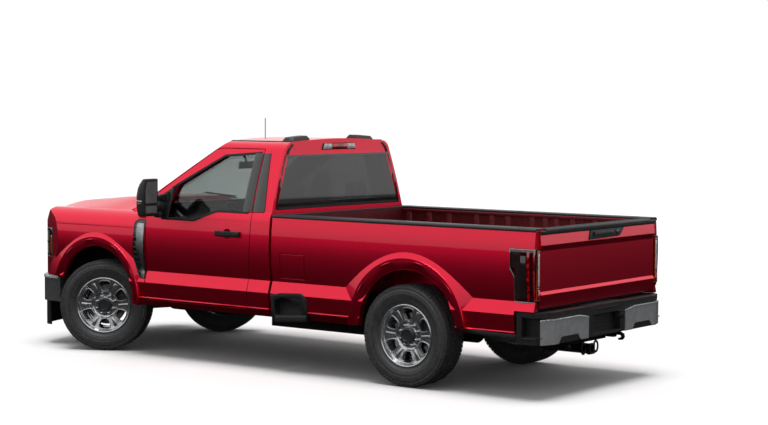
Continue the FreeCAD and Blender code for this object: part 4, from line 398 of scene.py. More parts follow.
def fitted(made, name, finish, body="chassis", smooth=35):
    """Names a finished piece, gives it its finish, and lets it ride on a body."""
    settled(made)
    made.name = name
    made.data.name = name
    made.data.materials.clear()
    made.data.materials.append(finish)
    bpy.ops.object.shade_smooth_by_angle(angle=math.radians(smooth))
    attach(made, body)
    return made


def twin_of(made, matrix):
    """A copy of a piece with its own mesh, moved or mirrored by a matrix."""
    twin = made.copy()
    twin.data = made.data.copy()
    bpy.context.scene.collection.objects.link(twin)
    twin.data.transform(matrix)
    return twin


tyre_low, tyre_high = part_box("tyre_rear_left")
wheel_radius = (tyre_high.z - tyre_low.z) / 2
tyre_half = (tyre_high.y - tyre_low.y) / 2
groove_depth = 0.01
base_radius = wheel_radius - groove_depth
tread_half = tyre_half - 0.02

carcass = spun([(0.25, -0.105), (0.262, -0.108), (0.285, -0.118), (0.32, -0.1335), (0.345, -0.137),
    (0.375, -0.1355), (0.4, -0.129), (0.408, -0.122), (base_radius, -0.108), (base_radius + 0.001, 0),
    (base_radius, 0.108), (0.408, 0.122), (0.4, 0.129), (0.3975, 0.1285), (0.375, 0.134), (0.3735, 0.1355),
    (0.345, 0.137), (0.343, 0.1355), (0.32, 0.1335), (0.3, 0.1262), (0.2985, 0.1275), (0.285, 0.1205),
    (0.283, 0.117), (0.272, 0.1115), (0.262, 0.108), (0.25, 0.105)], 96)

pitch_count = 72
pitch = 2 * math.pi * wheel_radius / pitch_count
block_share = 0.84
rows = [(-0.112, 0.026, 0.3), (-0.06, 0.04, 0.22), (0.0, 0.044, -0.22), (0.06, 0.04, 0.22),
    (0.112, 0.026, -0.3)]
blocks = []
for row_middle, row_width, slant in rows:
    long = pitch * block_share
    near, far = row_middle - row_width / 2, row_middle + row_width / 2
    lean = slant * row_width / 2
    outline = [(-long / 2 - lean, near), (long / 2 - lean, near), (long / 2 + lean, far),
        (-long / 2 + lean, far)]
    tread_block = plate(outline, "Z", base_radius - 0.004, 0.0125)
    for corner in tread_block.data.vertices:
        corner.co.z -= (abs(corner.co.y) / tread_half) ** 6 * 0.004
    blocks.append(tread_block)
for side in (-1, 1):
    lug = plate([(-0.38 * pitch, 0.402), (0.38 * pitch, 0.402), (0.3 * pitch, 0.384),
        (-0.3 * pitch, 0.384)], "Y", side * 0.1295 - 0.005, 0.009)
    blocks.append(lug)
tread = round_copies(rounded(joined(*blocks), 1.2, 1), pitch_count)
fine_ribs = round_copies(plate([(-0.0012, 0.318), (0.0012, 0.318), (0.0014, 0.341), (-0.0014, 0.341)], "Y",
    0.1325, 0.0048), 180)
tyre = joined(carcass, tread, fine_ribs)

# The rim's face is a dish that a six-window cutter is
# taken out of, and each window has its own raised border.
face_profile = [(0.262, -0.111), (0.262, -0.104), (0.25, -0.098), (0.222, -0.06), (0.222, -0.01),
    (0.246, 0.03), (0.25, 0.1), (0.262, 0.104), (0.262, 0.112), (0.254, 0.1165), (0.247, 0.112),
    (0.241, 0.092), (0.236, 0.082), (0.205, 0.079), (0.165, 0.071), (0.128, 0.066), (0.118, 0.056),
    (0.108, 0.053), (0.074, 0.053), (0.07, 0.06), (0.0, 0.06), (0.0, 0.03), (0.11, 0.026), (0.165, 0.04),
    (0.226, 0.052), (0.234, 0.03), (0.212, -0.006), (0.212, -0.062), (0.24, -0.1), (0.24, -0.111)]
dish = spun(face_profile, 96)
window_count = 6
window_radius = 0.178
window_half = 0.045
spoke_lean = 0.1


def window_outline(grow):
    """The outline of one rim window above the hub, larger all round by grow."""
    return [(x * (1 + grow / window_half), z + (z - window_radius) / window_half * grow)
        for x, z in ((-0.03, 0.138), (-0.018, 0.133), (0.018, 0.133), (0.03, 0.138), (0.041, 0.158),
        (0.05, 0.19), (0.05, 0.205), (0.042, 0.217), (0.022, 0.2245), (-0.022, 0.2245), (-0.042, 0.217),
        (-0.05, 0.205), (-0.05, 0.19), (-0.041, 0.158))]


cutter = round_copies(rounded(plate(window_outline(0), "Y", -0.02, 0.16), 4, 2, 20), window_count)
cut_out(dish, cutter)
border = plate(window_outline(0.0075), "Y", 0.06, 0.024)
cut_out(border, plate(window_outline(0.0005), "Y", 0.02, 0.1))
for corner in border.data.vertices:
    corner.co.y += (corner.co.z - window_radius) * spoke_lean
border = round_copies(rounded(border, 3.2, 2, 40), window_count)
flute = rounded(plate([(-0.009, 0.128), (0.009, 0.128), (0.013, 0.165), (0.02, 0.226), (-0.02, 0.226),
    (-0.013, 0.165)], "Y", 0.06, 0.0195), 4, 2, 40)
for corner in flute.data.vertices:
    corner.co.y += (corner.co.z - window_radius) * spoke_lean
flute = round_copies(flute, window_count, math.pi / window_count)
rim = joined(rounded(dish, 1.5, 2, 50), border, flute)

nut_count = 8
bpy.ops.mesh.primitive_cylinder_add(vertices=6, radius=0.0125, depth=0.034, location=(0, 0.066, 0.085),
    rotation=(math.pi / 2, 0, 0))
nut = settled(bpy.context.object)
nuts = round_copies(rounded(nut, 2.5, 2, 40), nut_count, math.pi / nut_count)
cap = spun([(0.0, 0.058), (0.066, 0.058), (0.066, 0.084), (0.06, 0.092), (0.05, 0.094), (0.047, 0.09),
    (0.04, 0.089), (0.0, 0.091)], 48)
disc = spun([(0.07, -0.02), (0.185, -0.02), (0.185, -0.01), (0.176, -0.008), (0.176, 0.004), (0.185, 0.006),
    (0.185, 0.014), (0.11, 0.014), (0.104, 0.028), (0.07, 0.028)], 72)
caliper = rounded(plate([(-0.11, 0.1), (-0.05, 0.205), (0.05, 0.205), (0.11, 0.1), (0.06, 0.085),
    (-0.06, 0.085)], "Y", -0.055, 0.075), 8)
caliper.data.transform(Matrix.Rotation(math.radians(-70), 4, "Y"))

alloy_grey = new_finish("satin_grey_wheel_lacquer", "polished_alloy", (12, 3), "#3E3F41", "#4C4D4F",
    Metallic=0.7, Roughness=0.38)
turned_steel = new_finish("turned_brake_steel", "cast_metal", (9, 4), "#6E6C69", "#8A8885", Metallic=1.0,
    Roughness=0.32)

wheel_pieces = [(tyre, "tyre", rubber), (rim, "rim", alloy), (nuts, "nuts", chrome),
    (cap, "cap", alloy_grey), (disc, "disc", turned_steel)]
for joint in frame["joints"]:
    if not joint["child"].startswith("wheel_"):
        continue
    corner = joint["child"][len("wheel_"):]
    side = 1 if corner.endswith("left") else -1
    outward = Vector(joint["axis"]) * side
    if outward.y * side < 0:
        outward.negate()
    turn = Matrix.Rotation(math.atan2(outward.y, outward.x) - math.pi / 2, 4, "Z")
    place = Matrix.Translation(Vector(joint["pos_m"])) @ turn
    for made, what, finish in wheel_pieces:
        twin = fitted(twin_of(made, place), f"wheel_{what}_{corner}", finish, joint["child"])
        if what in ("tyre", "rim"):
            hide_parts(f"{what}_{corner}")
    carrier = {"front_left": "knuckle_left", "front_right": "knuckle_right"}.get(corner, "chassis")
    fitted(twin_of(caliper, place), f"brake_caliper_{corner}", cast, carrier)
for made in [made for made, *rest in wheel_pieces] + [caliper]:
    bpy.data.objects.remove(made)


# Door windows: each is a tempered pane in a black rubber frame, with a gloss black panel on the post behind
# it and a black corner panel in front that carries the mirror. They are moulded, and clipped into the door.
WAYS = {"left": Vector((0, -1, 0)), "rear": Vector((1, 0, 0)), "front": Vector((-1, 0, 0)),
    "top": Vector((0, 0, -1)), "inside": Vector((0, 1, 0))}
AXES = {"left": 1, "rear": 0, "front": 0, "top": 2, "inside": 1}
ACROSS = Matrix.Scale(-1, 4, (0, 1, 0))
far_off = 4.0


def skin(place, way, nodes):
    """The place where the outermost of some CAD nodes lies, looked at along a way."""
    best = None
    for node in nodes:
        hit, point = frame["nodes"][node].ray_cast(place - way * far_off, way)[:2]
        if hit and (best is None or (point - best).dot(way) < 0):
            best = point
    return best


def grown(points, amount):
    """An outline moved outwards all round, its points in turn either way round."""
    area = sum(a[0] * b[1] - b[0] * a[1] for a, b in zip(points, points[1:] + points[:1]))
    made = []
    for before, here, after in zip(points[-1:] + points[:-1], points, points[1:] + points[:1]):
        back = (Vector(here) - Vector(before)).normalized()
        on = (Vector(after) - Vector(here)).normalized()
        out_back = Vector((back.y, -back.x))
        out_on = Vector((on.y, -on.x))
        out = (out_back + out_on) / max(1 + out_back.dot(out_on), 0.3)
        made.append(tuple(Vector(here) + out * amount * (1 if area > 0 else -1)))
    return made


def laid(points, seen_from, nodes, thick, rise=0.0005, cell=0.06, column=None, border=0, edge_mm=1.0):
    """A thin moulding of an outline: cut into cells, pressed onto CAD nodes and thickened outwards."""
    way = WAYS[seen_from]
    axis = AXES[seen_from]
    places = [lambda a, b: (0, a, b), lambda a, b: (a, 0, b), lambda a, b: (a, b, 0)][axis]
    made = outlined([places(a, b) for a, b in points])
    low = [min(corner.co[i] for corner in made.data.vertices) for i in range(3)]
    high = [max(corner.co[i] for corner in made.data.vertices) for i in range(3)]
    bpy.ops.object.mode_set(mode="EDIT")
    bpy.ops.mesh.select_all(action="SELECT")
    bpy.ops.mesh.normals_make_consistent(inside=False)
    if border:
        bpy.ops.mesh.inset(thickness=border)
        bpy.ops.mesh.delete(type="FACE")
    for i in range(3):
        count = 0 if i == axis else math.ceil((high[i] - low[i]) / cell)
        for step in range(1, count):
            cut_place = Vector((0, 0, 0))
            cut_place[i] = low[i] + (high[i] - low[i]) * step / count
            cut_way = Vector((0, 0, 0))
            cut_way[i] = 1
            bpy.ops.mesh.select_all(action="SELECT")
            bpy.ops.mesh.bisect(plane_co=cut_place, plane_no=cut_way)
    bpy.ops.object.mode_set(mode="OBJECT")
    missed = []
    found = []
    for corner in made.data.vertices:
        place = corner.co.copy()
        if column is not None:
            place.x = column
        spot = skin(place, way, nodes)
        if spot is None:
            missed.append(corner)
            continue
        found.append(spot)
        corner.co[axis] = spot[axis] - way[axis] * rise
    across_axes = [i for i in range(3) if i != axis]
    for corner in missed:
        nearest = min(found, key=lambda spot: sum((spot[i] - corner.co[i]) ** 2 for i in across_axes))
        corner.co[axis] = nearest[axis] - way[axis] * rise
    thickened(made, tuple(-way * thick))
    return rounded(made, edge_mm, 2, 50) if edge_mm else made


def pair(made, name, finish, body="chassis"):
    """Fits a left-hand piece and its mirror copy on the right, whose body is the other side's."""
    left = fitted(made, name + "_left", finish, body)
    right = twin_of(left, ACROSS)
    right.parent = None
    right.matrix_world = Matrix.Identity(4)
    right.data.flip_normals()
    right.name = name + "_right"
    right.data.name = name + "_right"
    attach(right, body.replace("left", "right"))
    return left, right


gloss_black = new_finish("gloss_black_acrylic", "black_plastic", (50, 2), "#1C1D1E", "#28292B",
    Roughness=0.12, Coat_Weight=0.6, Coat_Roughness=0.04)
seal_rubber = new_finish("black_extruded_rubber", "black_plastic", (12, 2), "#101011", "#1B1B1C",
    Roughness=0.6, Specular_IOR_Level=0.35)

post_column = 0.02
cab_side = ["cab_side_left"]
window_line = [(0.114, 1.376), (0.466, 1.376), (0.724, 1.283), (1.102, 1.283), (1.017, 1.572),
    (0.514, 1.85), (0.114, 1.882)]
seal = laid(grown(window_line, 0.016), "left", cab_side, 0.004, cell=0.08, column=post_column, border=0.022)
pair(seal, "window_seal", seal_rubber, "door_left")
door_panel = laid([(0.062, 1.374), (0.165, 1.372), (0.168, 1.884), (0.078, 1.886)], "left", cab_side, 0.005,
    rise=0.001, cell=0.08, column=post_column)
pair(door_panel, "post_panel_front", gloss_black, "door_left")
post_panel = laid([(0.046, 1.374), (0.061, 1.886), (-0.006, 1.888), (-0.05, 1.62), (-0.082, 1.395),
    (-0.072, 1.378)], "left", cab_side, 0.005, rise=0.001, cell=0.08, column=post_column)
pair(post_panel, "post_panel_rear", gloss_black)
corner_panel = laid([(1.03, 1.286), (1.03, 1.566), (1.15, 1.5), (1.205, 1.44), (1.212, 1.32),
    (1.19, 1.286)], "left", cab_side, 0.01, rise=0.001, cell=0.08, column=post_column, edge_mm=3)
division_bar = laid([(1.022, 1.284), (1.046, 1.284), (1.052, 1.57), (1.028, 1.574)], "left", cab_side, 0.01,
    rise=0.01, cell=0.08, column=post_column, edge_mm=3)
pair(joined(corner_panel, division_bar), "window_corner", trim, "door_left")


# Tow mirrors: a tall black housing on two telescopic arms, with a large pane above a small wide-angle one.
# The housing is moulded polypropylene, and a bright strip and an amber lamp run round its outer side.
def round_line(a, b, radius, count):
    """The outline of a circle."""
    turns = [2 * math.pi * number / count for number in range(count)]
    return [(a + radius * math.cos(turn), b + radius * math.sin(turn)) for turn in turns]


head_inner = 1.152
head_outer = 1.344
head_rear = 1.0
head_front = 1.132
head_low, head_high = 1.312, 1.646
foot_bend, top_bend = 1.4, 1.48
head_line = [(head_rear, head_inner), (head_rear, head_outer), (1.052, head_outer), (1.092, 1.334),
    (1.118, 1.306), (1.13, 1.262), (head_front, 1.205), (1.124, 1.166), (1.11, head_inner)]
head = plate(head_line, "Z", head_low, head_high - head_low)
bpy.ops.object.mode_set(mode="EDIT")
for height in (1.33, 1.4, 1.5, 1.56, 1.6, 1.63):
    bpy.ops.mesh.select_all(action="SELECT")
    bpy.ops.mesh.bisect(plane_co=(0, 0, height), plane_no=(0, 0, 1))
bpy.ops.object.mode_set(mode="OBJECT")
for corner in head.data.vertices:
    up_share = max(0, (corner.co.z - top_bend) / (head_high - top_bend))
    down_share = max(0, (foot_bend - corner.co.z) / (foot_bend - head_low))
    depth_share = 1 - 0.62 * up_share ** 2 - 0.16 * down_share ** 2
    corner.co.x = head_rear + (corner.co.x - head_rear) * depth_share
    corner.co.y -= max(0, corner.co.y - 1.25) * (0.3 * up_share ** 3 + 0.12 * down_share ** 2)
rounded(head, 9, 3, 40)
bezel = plate([(head_inner + 0.01, head_low + 0.012), (1.328, head_low + 0.012), (1.334, 1.42),
    (1.334, 1.54), (1.31, head_high - 0.012), (head_inner + 0.01, head_high - 0.01)], "X", 0.9965, 0.006)
panes = [plate(grown(line, -0.002), "X", 0.9955, 0.004)
    for line in ([(1.172, 1.428), (1.318, 1.428), (1.32, 1.55), (1.3, 1.622), (1.172, 1.626)],
    [(1.172, 1.338), (1.314, 1.338), (1.318, 1.408), (1.172, 1.408)])]
strip = plate(grown([(x if x > head_rear else head_rear + 0.018, y) for x, y in head_line], 0.0015), "Z",
    1.44, 0.013)
amber_strip = plate(grown([(x if x > head_rear else head_rear + 0.03, y) for x, y in head_line], 0.001),
    "Z", 1.424, 0.009)
arms = []
for height in (1.35, 1.44):
    arms.append(rounded(plate([(1.05, 1.16), (1.098, 1.16), (1.128, 1.03), (1.176, 0.925), (1.096, 0.925),
        (1.072, 1.03)], "Z", height, 0.05), 9, 3, 40))
    arms.append(rounded(plate([(1.062, 1.035), (1.14, 1.035), (1.184, 0.945), (1.168, 0.925),
        (1.086, 0.925)], "Z", height - 0.007, 0.064), 6, 2, 40))
foot = rounded(plate([(1.06, 1.3), (1.07, 1.52), (1.15, 1.47), (1.19, 1.41), (1.196, 1.3)], "Y", 0.925,
    0.034), 8, 3, 40)
arm_joint = plate(round_line(1.12, 1.02, 0.046, 16), "Z", 1.286, 0.066)
mirror_body = joined(head, bezel, foot, rounded(arm_joint, 14, 3, 40), *arms)
mirror_glass = new_finish("silvered_mirror_glass", "bright_metal", (200, 1), "#7C7F81", "#8B8E90",
    Metallic=0.35, Roughness=0.06)
amber = new_finish("amber_acrylic", "clear_lens", (8, 2), "#C2410C", "#E4672A", Roughness=0.08,
    Coat_Weight=1.0, Coat_Roughness=0.03)
for made, side in zip(pair(mirror_body, "tow_mirror", trim, "door_left"), ("left", "right")):
    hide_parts(f"mirror_{side}")
pair(joined(*panes), "mirror_panes", mirror_glass, "door_left")
pair(rounded(strip, 2), "mirror_strip", chrome, "door_left")
pair(rounded(amber_strip, 2), "mirror_lamp", amber, "door_left")


# Door handles: a black pull bar over a dished cup in the door, moulded in glass-filled
# nylon. Its two feet are bolted through the door skin, and the rear one holds the lock.
handle_back, handle_front = 0.17, 0.45
handle_out = 1.036
handle = plate([(handle_back, 0.992), (handle_back, 1.018), (0.188, 1.031), (0.24, handle_out),
    (0.38, handle_out), (0.432, 1.031), (handle_front, 1.018), (handle_front, 0.992), (0.4, 0.992),
    (0.388, 1.016), (0.262, 1.016), (0.248, 0.992)], "Z", 1.15, 0.048)
lock = plate(round_line(0.2, 1.174, 0.01, 16), "Y", 1.028, 0.01)
pair(joined(rounded(handle, 7, 3, 40), rounded(lock, 1.5)), "door_handle", trim, "door_left")


# Side vents: a black moulded panel behind each front wheel, with open slats and
# a bright anodised blade along its rear edge. They are clipped to the fender.
vent_line = [(1.322, 1.262), (1.406, 1.26), (1.446, 1.24), (1.458, 1.18), (1.46, 0.9), (1.38, 0.716),
    (1.322, 0.716)]
fender = ["fender_left"]
vent = laid(vent_line, "left", fender, 0.005, cell=0.05)
rim_line = laid(vent_line, "left", fender, 0.005, rise=0.005, cell=0.05, border=0.006)
slats = []
slat_foot, slat_step = 0.8, 0.046
for number in range(9):
    height = slat_foot + number * slat_step
    back = 1.4 if height < 1.0 else 1.424
    front = min(1.452, 1.34 + (height - 0.716) * 0.62)
    if front > back:
        slats.append(laid([(back - 0.03, height), (front, height + 0.008), (front, height + 0.022),
            (back - 0.03, height + 0.014)], "left", fender, 0.006, rise=0.005, cell=0.05))
pair(joined(vent, rim_line, *slats), "side_vent", gloss_black)
blade = laid([(1.328, 1.222), (1.404, 1.222), (1.416, 1.205), (1.418, 0.99), (1.378, 0.92), (1.362, 0.724),
    (1.328, 0.724)], "left", fender, 0.006, rise=0.006, cell=0.05, edge_mm=3)
anodised = new_finish("bright_anodised_aluminium", "bright_metal", (30, 3), "#9C9EA0", "#B6B8BA",
    Metallic=1.0, Roughness=0.28)
pair(blade, "vent_blade", anodised)


# Roof: black mouldings close the joints beside the roof skin, two clearance
# lamps stand at its rear, and a stop lamp with clear cargo lamps each side
# sits above the back glass. All are moulded, and clipped in rubber seats.
def oblong(a, b, c, d):
    """The outline of a rectangle between two opposite corners."""
    return [(a, b), (c, b), (c, d), (a, d)]


ditch_inner = [(-0.14, 0.644), (0.56, 0.644), (0.694, 0.618), (1.18, 0.69), (1.6, 0.752)]
ditch_line = ditch_inner + [(x, y + 0.02) for x, y in reversed(ditch_inner)]
ditch = laid(ditch_line, "top", ["cab_roof", "cab_side_left", "cowl"], 0.006, cell=0.07, edge_mm=2)
ditch_end = laid([(0.64, 1.965), (0.662, 1.968), (0.712, 1.93), (0.742, 1.88), (0.72, 1.876),
    (0.69, 1.922)], "rear", ["cab_roof", "cab_side_left", "cab_back_panel"], 0.006, cell=0.03, edge_mm=2)
pair(joined(ditch, ditch_end), "roof_moulding", trim)
pod = laid([(-0.1, 0.35), (0.03, 0.33), (0.052, 0.38), (0.03, 0.59), (-0.06, 0.612), (-0.104, 0.58)], "top",
    ["cab_roof"], 0.034, cell=0.05, edge_mm=0)
pod_x, pod_y = -0.036, 0.47
length_share, width_share = 0.66, 0.84
for corner in pod.data.vertices:
    found = skin(corner.co, WAYS["top"], ["cab_roof"])
    if corner.co.z - found.z > 0.02:
        corner.co.x = pod_x + (corner.co.x - pod_x) * length_share
        corner.co.y = pod_y + (corner.co.y - pod_y) * width_share
pair(rounded(pod, 9, 3), "clearance_lamp", trim)
roof_back = ["cab_roof", "cab_back_panel"]
stop_seat = laid([(-0.246, 1.912), (0.246, 1.912), (0.222, 1.972), (-0.222, 1.972)], "rear", roof_back,
    0.006, cell=0.05, edge_mm=2)
fitted(stop_seat, "stop_lamp_seat", seal_rubber)
clear_ends = [laid([(side * a, b) for a, b in ((0.112, 1.918), (0.236, 1.918), (0.214, 1.966),
    (0.112, 1.966))], "rear", roof_back, 0.008, rise=0.006, cell=0.05, edge_mm=3) for side in (-1, 1)]
stop_red = laid(oblong(-0.11, 1.918, 0.11, 1.966), "rear", roof_back, 0.008, rise=0.006, cell=0.05,
    edge_mm=3)
# This near-white clear acrylic also serves as painted highlight strips on the bumpers' chrome edges.
bright_lens_and_painted_highlight = new_finish("clear_ribbed_acrylic_and_painted_highlight", "clear_lens", (14, 2), "#A9ADAF", "#F2F4F4",
    spread=(0.4, 0.6), Roughness=0.1, Coat_Weight=1.0, Coat_Roughness=0.02)
bright_red = new_finish("red_ribbed_acrylic", "red_lens", (22, 2), "#5A0008", "#E01428", spread=(0.42, 0.6),
    Roughness=0.1, Coat_Weight=1.0, Coat_Roughness=0.02)
fitted(joined(*clear_ends), "cargo_lamps", bright_lens_and_painted_highlight)
fitted(stop_red, "high_stop_lamp", bright_red)


# Back glass: one tinted pane bonded into a black painted
# border, with a broad black band along its lower edge.
pane_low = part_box("back_glass")[0]
glass_line = [(-0.896, 1.408), (0.896, 1.408), (0.87, 1.52), (0.802, 1.74), (0.748, 1.868), (-0.748, 1.868),
    (-0.802, 1.74), (-0.87, 1.52)]
border = laid(grown(glass_line, 0.006), "rear", ["back_glass", "cab_back_panel"], 0.002, rise=0.003,
    cell=0.05, border=0.018, edge_mm=0)
band = plate([(-0.888, 1.398), (0.888, 1.398), (0.878, 1.452), (-0.878, 1.452)], "X", pane_low.x - 0.0025,
    0.0015)
fitted(joined(border, band), "back_glass_border", gloss_black)


# Door cards and wheel arch lips: a moulded black card with an armrest covers each door inside,
# held by clips, and a pressed lip in the body colour is bonded round each wheel opening.
door = ["door_left"]
card = laid([(0.13, 0.64), (1.2, 0.64), (1.22, 1.18), (1.05, 1.255), (0.72, 1.255), (0.47, 1.345),
    (0.13, 1.345)], "inside", door, 0.008, cell=0.09, edge_mm=4)
armrest = laid([(0.3, 0.94), (0.9, 0.94), (0.96, 1.01), (0.3, 0.995)], "inside", door, 0.05, rise=0.008,
    cell=0.12, edge_mm=12)
pocket = laid([(0.25, 0.7), (1.05, 0.7), (1.08, 0.8), (0.25, 0.79)], "inside", door, 0.026, rise=0.008,
    cell=0.12, edge_mm=8)
pair(joined(card, armrest, pocket), "door_card", trim, "door_left")


def arch_lip(middle_x, middle_z, radius, first, last, name):
    """A lip round a wheel opening, leaning in towards the wheel, between two angles from straight ahead."""
    lip_width = 0.088
    lip_lean = 0.02
    turns = [math.radians(first + (last - first) * i / 40) for i in range(41)]
    inner, outer = [[(middle_x + reach * math.cos(a), middle_z + reach * math.sin(a)) for a in turns]
        for reach in (radius - 0.005, radius + lip_width)]
    made = plate(inner + list(reversed(outer)), "Y", 0.955, 0.063)
    for corner in made.data.vertices:
        away = math.hypot(corner.co.x - middle_x, corner.co.z - middle_z) - radius
        if corner.co.y > 1.0:
            corner.co.y -= lip_lean * (1 - max(0, away) / lip_width)
    return pair(rounded(made, 5, 3, 40), name, paint)


arch_lip(1.95, 0.513, 0.472, 17, 185, "front_arch_lip")
arch_lip(-1.638, 0.484, 0.502, -1, 174, "rear_arch_lip")


# Tail lamps: a smoked acrylic cover with a ribbed black column at its side, a red light guide at the corner
# and a bright reflector that looks backwards. Each is screwed into the bedside over a thin bright rim.
lamp_side = [(-2.641, 1.046), (-2.641, 1.202), (-2.873, 1.202), (-2.873, 0.783), (-2.681, 0.783),
    (-2.681, 0.985)]
lamp = ["tail_lamp_left", "bedside_left"]
lamp_rim = laid(lamp_side, "left", lamp, 0.003, cell=0.05, border=0.0045)
pair(lamp_rim, "tail_lamp_rim", chrome)
ribs = [laid(oblong(-2.74, 0.812, -2.788, 1.15), "left", lamp, 0.003, cell=0.1)]
rib_foot, rib_step, rib_high = 0.812, 0.0152, 0.0075
for number in range(25):
    height = rib_foot + number * rib_step
    front = -2.664 if height > 1.05 else -2.692
    ribs.append(laid(oblong(front, height, -2.734, height + rib_high), "left", lamp, 0.004, cell=0.1,
        edge_mm=0))
pair(joined(*ribs), "tail_lamp_ribs", gloss_black)
guide = laid(oblong(-2.8, 0.792, -2.822, 1.192), "left", lamp, 0.0035)
corner_guide = laid(oblong(-2.858, 0.792, -2.872, 1.192), "left", lamp, 0.0035)
lens = ["tail_lamp_left"]
low_mark = laid([(0.941, 0.826), (0.976, 0.826), (0.972, 0.905), (0.941, 0.905)], "rear", lens, 0.003,
    rise=0.005)
pair(joined(guide, corner_guide, low_mark), "tail_lamp_guide", bright_red)
rear_face = laid([(0.938, 0.806), (0.982, 0.806), (0.974, 1.192), (0.938, 1.192)], "rear", lens, 0.004,
    edge_mm=2)
pair(rear_face, "tail_lamp_rear", gloss_black)
bowl = laid([(0.944, 0.915), (0.966, 0.915), (0.964, 1.168), (0.944, 1.168)], "rear", lens, 0.003,
    rise=0.005, edge_mm=2)
bulb = laid([(0.946, 0.846), (0.962, 0.846), (0.96, 0.886), (0.946, 0.886)], "rear", lens, 0.002,
    rise=0.009)
pair(joined(bowl, bulb), "tail_lamp_reflector", bright_lens_and_painted_highlight)
thin_line = laid([(0.936, 0.802), (0.984, 0.802), (0.976, 1.196), (0.936, 1.196)], "rear", lens, 0.003,
    rise=0.003, border=0.0025, edge_mm=0)
pair(thin_line, "tail_lamp_line", amber)


# Tailgate: a grained black cap along its top carries the line of the rails on, and a black plate holds
# the pull handle and a round lock. The cap is clipped on, and the plate is bolted through the outer skin.
gate = ["tailgate"]
cap_top = plate([(-2.89, 1.336), (-2.891, 1.348), (-2.882, 1.358), (-2.792, 1.358), (-2.78, 1.35),
    (-2.78, 1.338)], "Y", -0.843, 1.686)
cap_lip = plate([(-2.887, 1.312), (-2.891, 1.344), (-2.868, 1.344), (-2.868, 1.312)], "Y", -0.923, 1.846)
cap_ribs = [plate(oblong(-2.88 + step, 1.3605, -2.874 + step, 1.35), "Y", -0.8, 1.6)
    for step in (0.01, 0.03, 0.05, 0.07)]
cap = joined(rounded(cap_top, 5, 3), rounded(cap_lip, 3), *[rounded(rib, 1.5, 1) for rib in cap_ribs])
fitted(cap, "tailgate_cap", trim, "tailgate")
plate_line = [(0.16, 1.318), (0.195, 1.236), (-0.29, 1.244), (-0.33, 1.262), (-0.392, 1.318)]
back_plate = laid(plate_line, "rear", gate, 0.008, edge_mm=3)
grip = laid([(0.12, 1.3), (0.132, 1.268), (-0.18, 1.27), (-0.18, 1.3)], "rear", gate, 0.008, rise=0.018,
    cell=0.08, edge_mm=4)
feet = [laid(oblong(a, 1.27, a - 0.02, 1.3), "rear", gate, 0.016, rise=0.004, cell=0.08)
    for a in (0.118, -0.155)]
lock_ring = laid(round_line(-0.262, 1.284, 0.026, 24), "rear", gate, 0.006, rise=0.007, cell=0.08,
    edge_mm=2)
fitted(joined(back_plate, grip, lock_ring, *feet), "tailgate_handle", trim, "tailgate")
lock_face = laid(round_line(-0.262, 1.284, 0.015, 16), "rear", gate, 0.0025, rise=0.012, cell=0.08,
    edge_mm=1)
fitted(lock_face, "tailgate_lock", gloss_black, "tailgate")


# Rear bumper: two bright pressed ends on a black step. Ribbed pads lie on its top, a frame runs round each
# corner step, and a socket and a blank plate holder sit in the middle. The pads are moulded and clipped down.
satin_chrome = new_finish("satin_plated_steel", "bright_metal", (60, 2), "#CDCFD1", "#DCDEE0",
    bumps=(160, 1, 0.25, 9), Metallic=0.6, Roughness=0.22)
dress(satin_chrome, "bumper_panel_left", "bumper_panel_right")


def top_edge(node, y, low, high):
    """The height of a CAD node's upper edge seen from behind, at one place across the truck."""
    height = high
    while height > low:
        hit = frame["nodes"][node].ray_cast(Vector((0, y, height)) - WAYS["rear"] * far_off, WAYS["rear"])
        if hit[0]:
            return height
        height -= 0.001
    return low


def block(low, high):
    """A box between two corners, as the start of a piece."""
    return plate(oblong(low[0], low[1], high[0], high[1]), "Z", low[2], high[2] - low[2])


# Painted highlight: a near-white strip laid along the top edge of each bright bumper end, not a part of the
# bumper.
highlight_inner = 0.31
highlight_step = 0.029
highlight_half = 0.0045
highlight_low = []
for number in range(22):
    y = highlight_inner + number * highlight_step
    highlight_low.append((y, top_edge("bumper_panel_left", y, 0.55, 0.72) - highlight_half))
highlight_line = [(y, height + 2 * highlight_half) for y, height in highlight_low] + list(reversed(highlight_low))
painted_highlight_strip = laid(highlight_line, "rear", ["bumper_panel_left"], 0.0045, cell=0.5, edge_mm=1.8)
pair(painted_highlight_strip, "bumper_painted_highlight", bright_lens_and_painted_highlight)
bumper = ["rear_bumper"]
pads = []
pad_back, pad_step, pad_long = -2.938, 0.026, 0.013
for number in range(6):
    back = pad_back + number * pad_step
    pads.append(laid(oblong(back, 0.285, back + pad_long, -0.285), "top", bumper, 0.004, cell=0.3))
socket = laid(oblong(-0.19, 0.566, -0.25, 0.632), "rear", bumper, 0.014, cell=0.1, edge_mm=4)
socket_lid = laid(oblong(-0.198, 0.574, -0.242, 0.618), "rear", bumper, 0.006, rise=0.0145, cell=0.1,
    edge_mm=3)
holder = laid(oblong(-0.165, 0.52, 0.165, 0.68), "rear", bumper, 0.006, cell=0.1, border=0.008)
fitted(joined(socket, socket_lid, holder, *pads), "bumper_pads", trim)
step_line = oblong(-2.934, 0.498, -2.75, 0.668)
step_frame = laid(grown(step_line, 0.006), "left", bumper, 0.006, cell=0.05, border=0.012, edge_mm=3)
step_ribs = [block((-2.916, y, 0.507), (-2.766, y + 0.006, 0.514)) for y in (0.938, 0.954, 0.97)]
pair(joined(step_frame, *step_ribs), "corner_step_frame", trim)


# Hitch: a square receiver in a welded collar under the bumper, with two chain loops
# and a tow hook each side. It is cut from plate and welded, then dipped in black wax.
def torus(place, turn, radius, wire, corners, wire_corners):
    """A ring of round wire."""
    bpy.ops.mesh.primitive_torus_add(major_segments=corners, minor_segments=wire_corners,
        major_radius=radius, minor_radius=wire, location=place, rotation=turn)
    return settled(bpy.context.object)


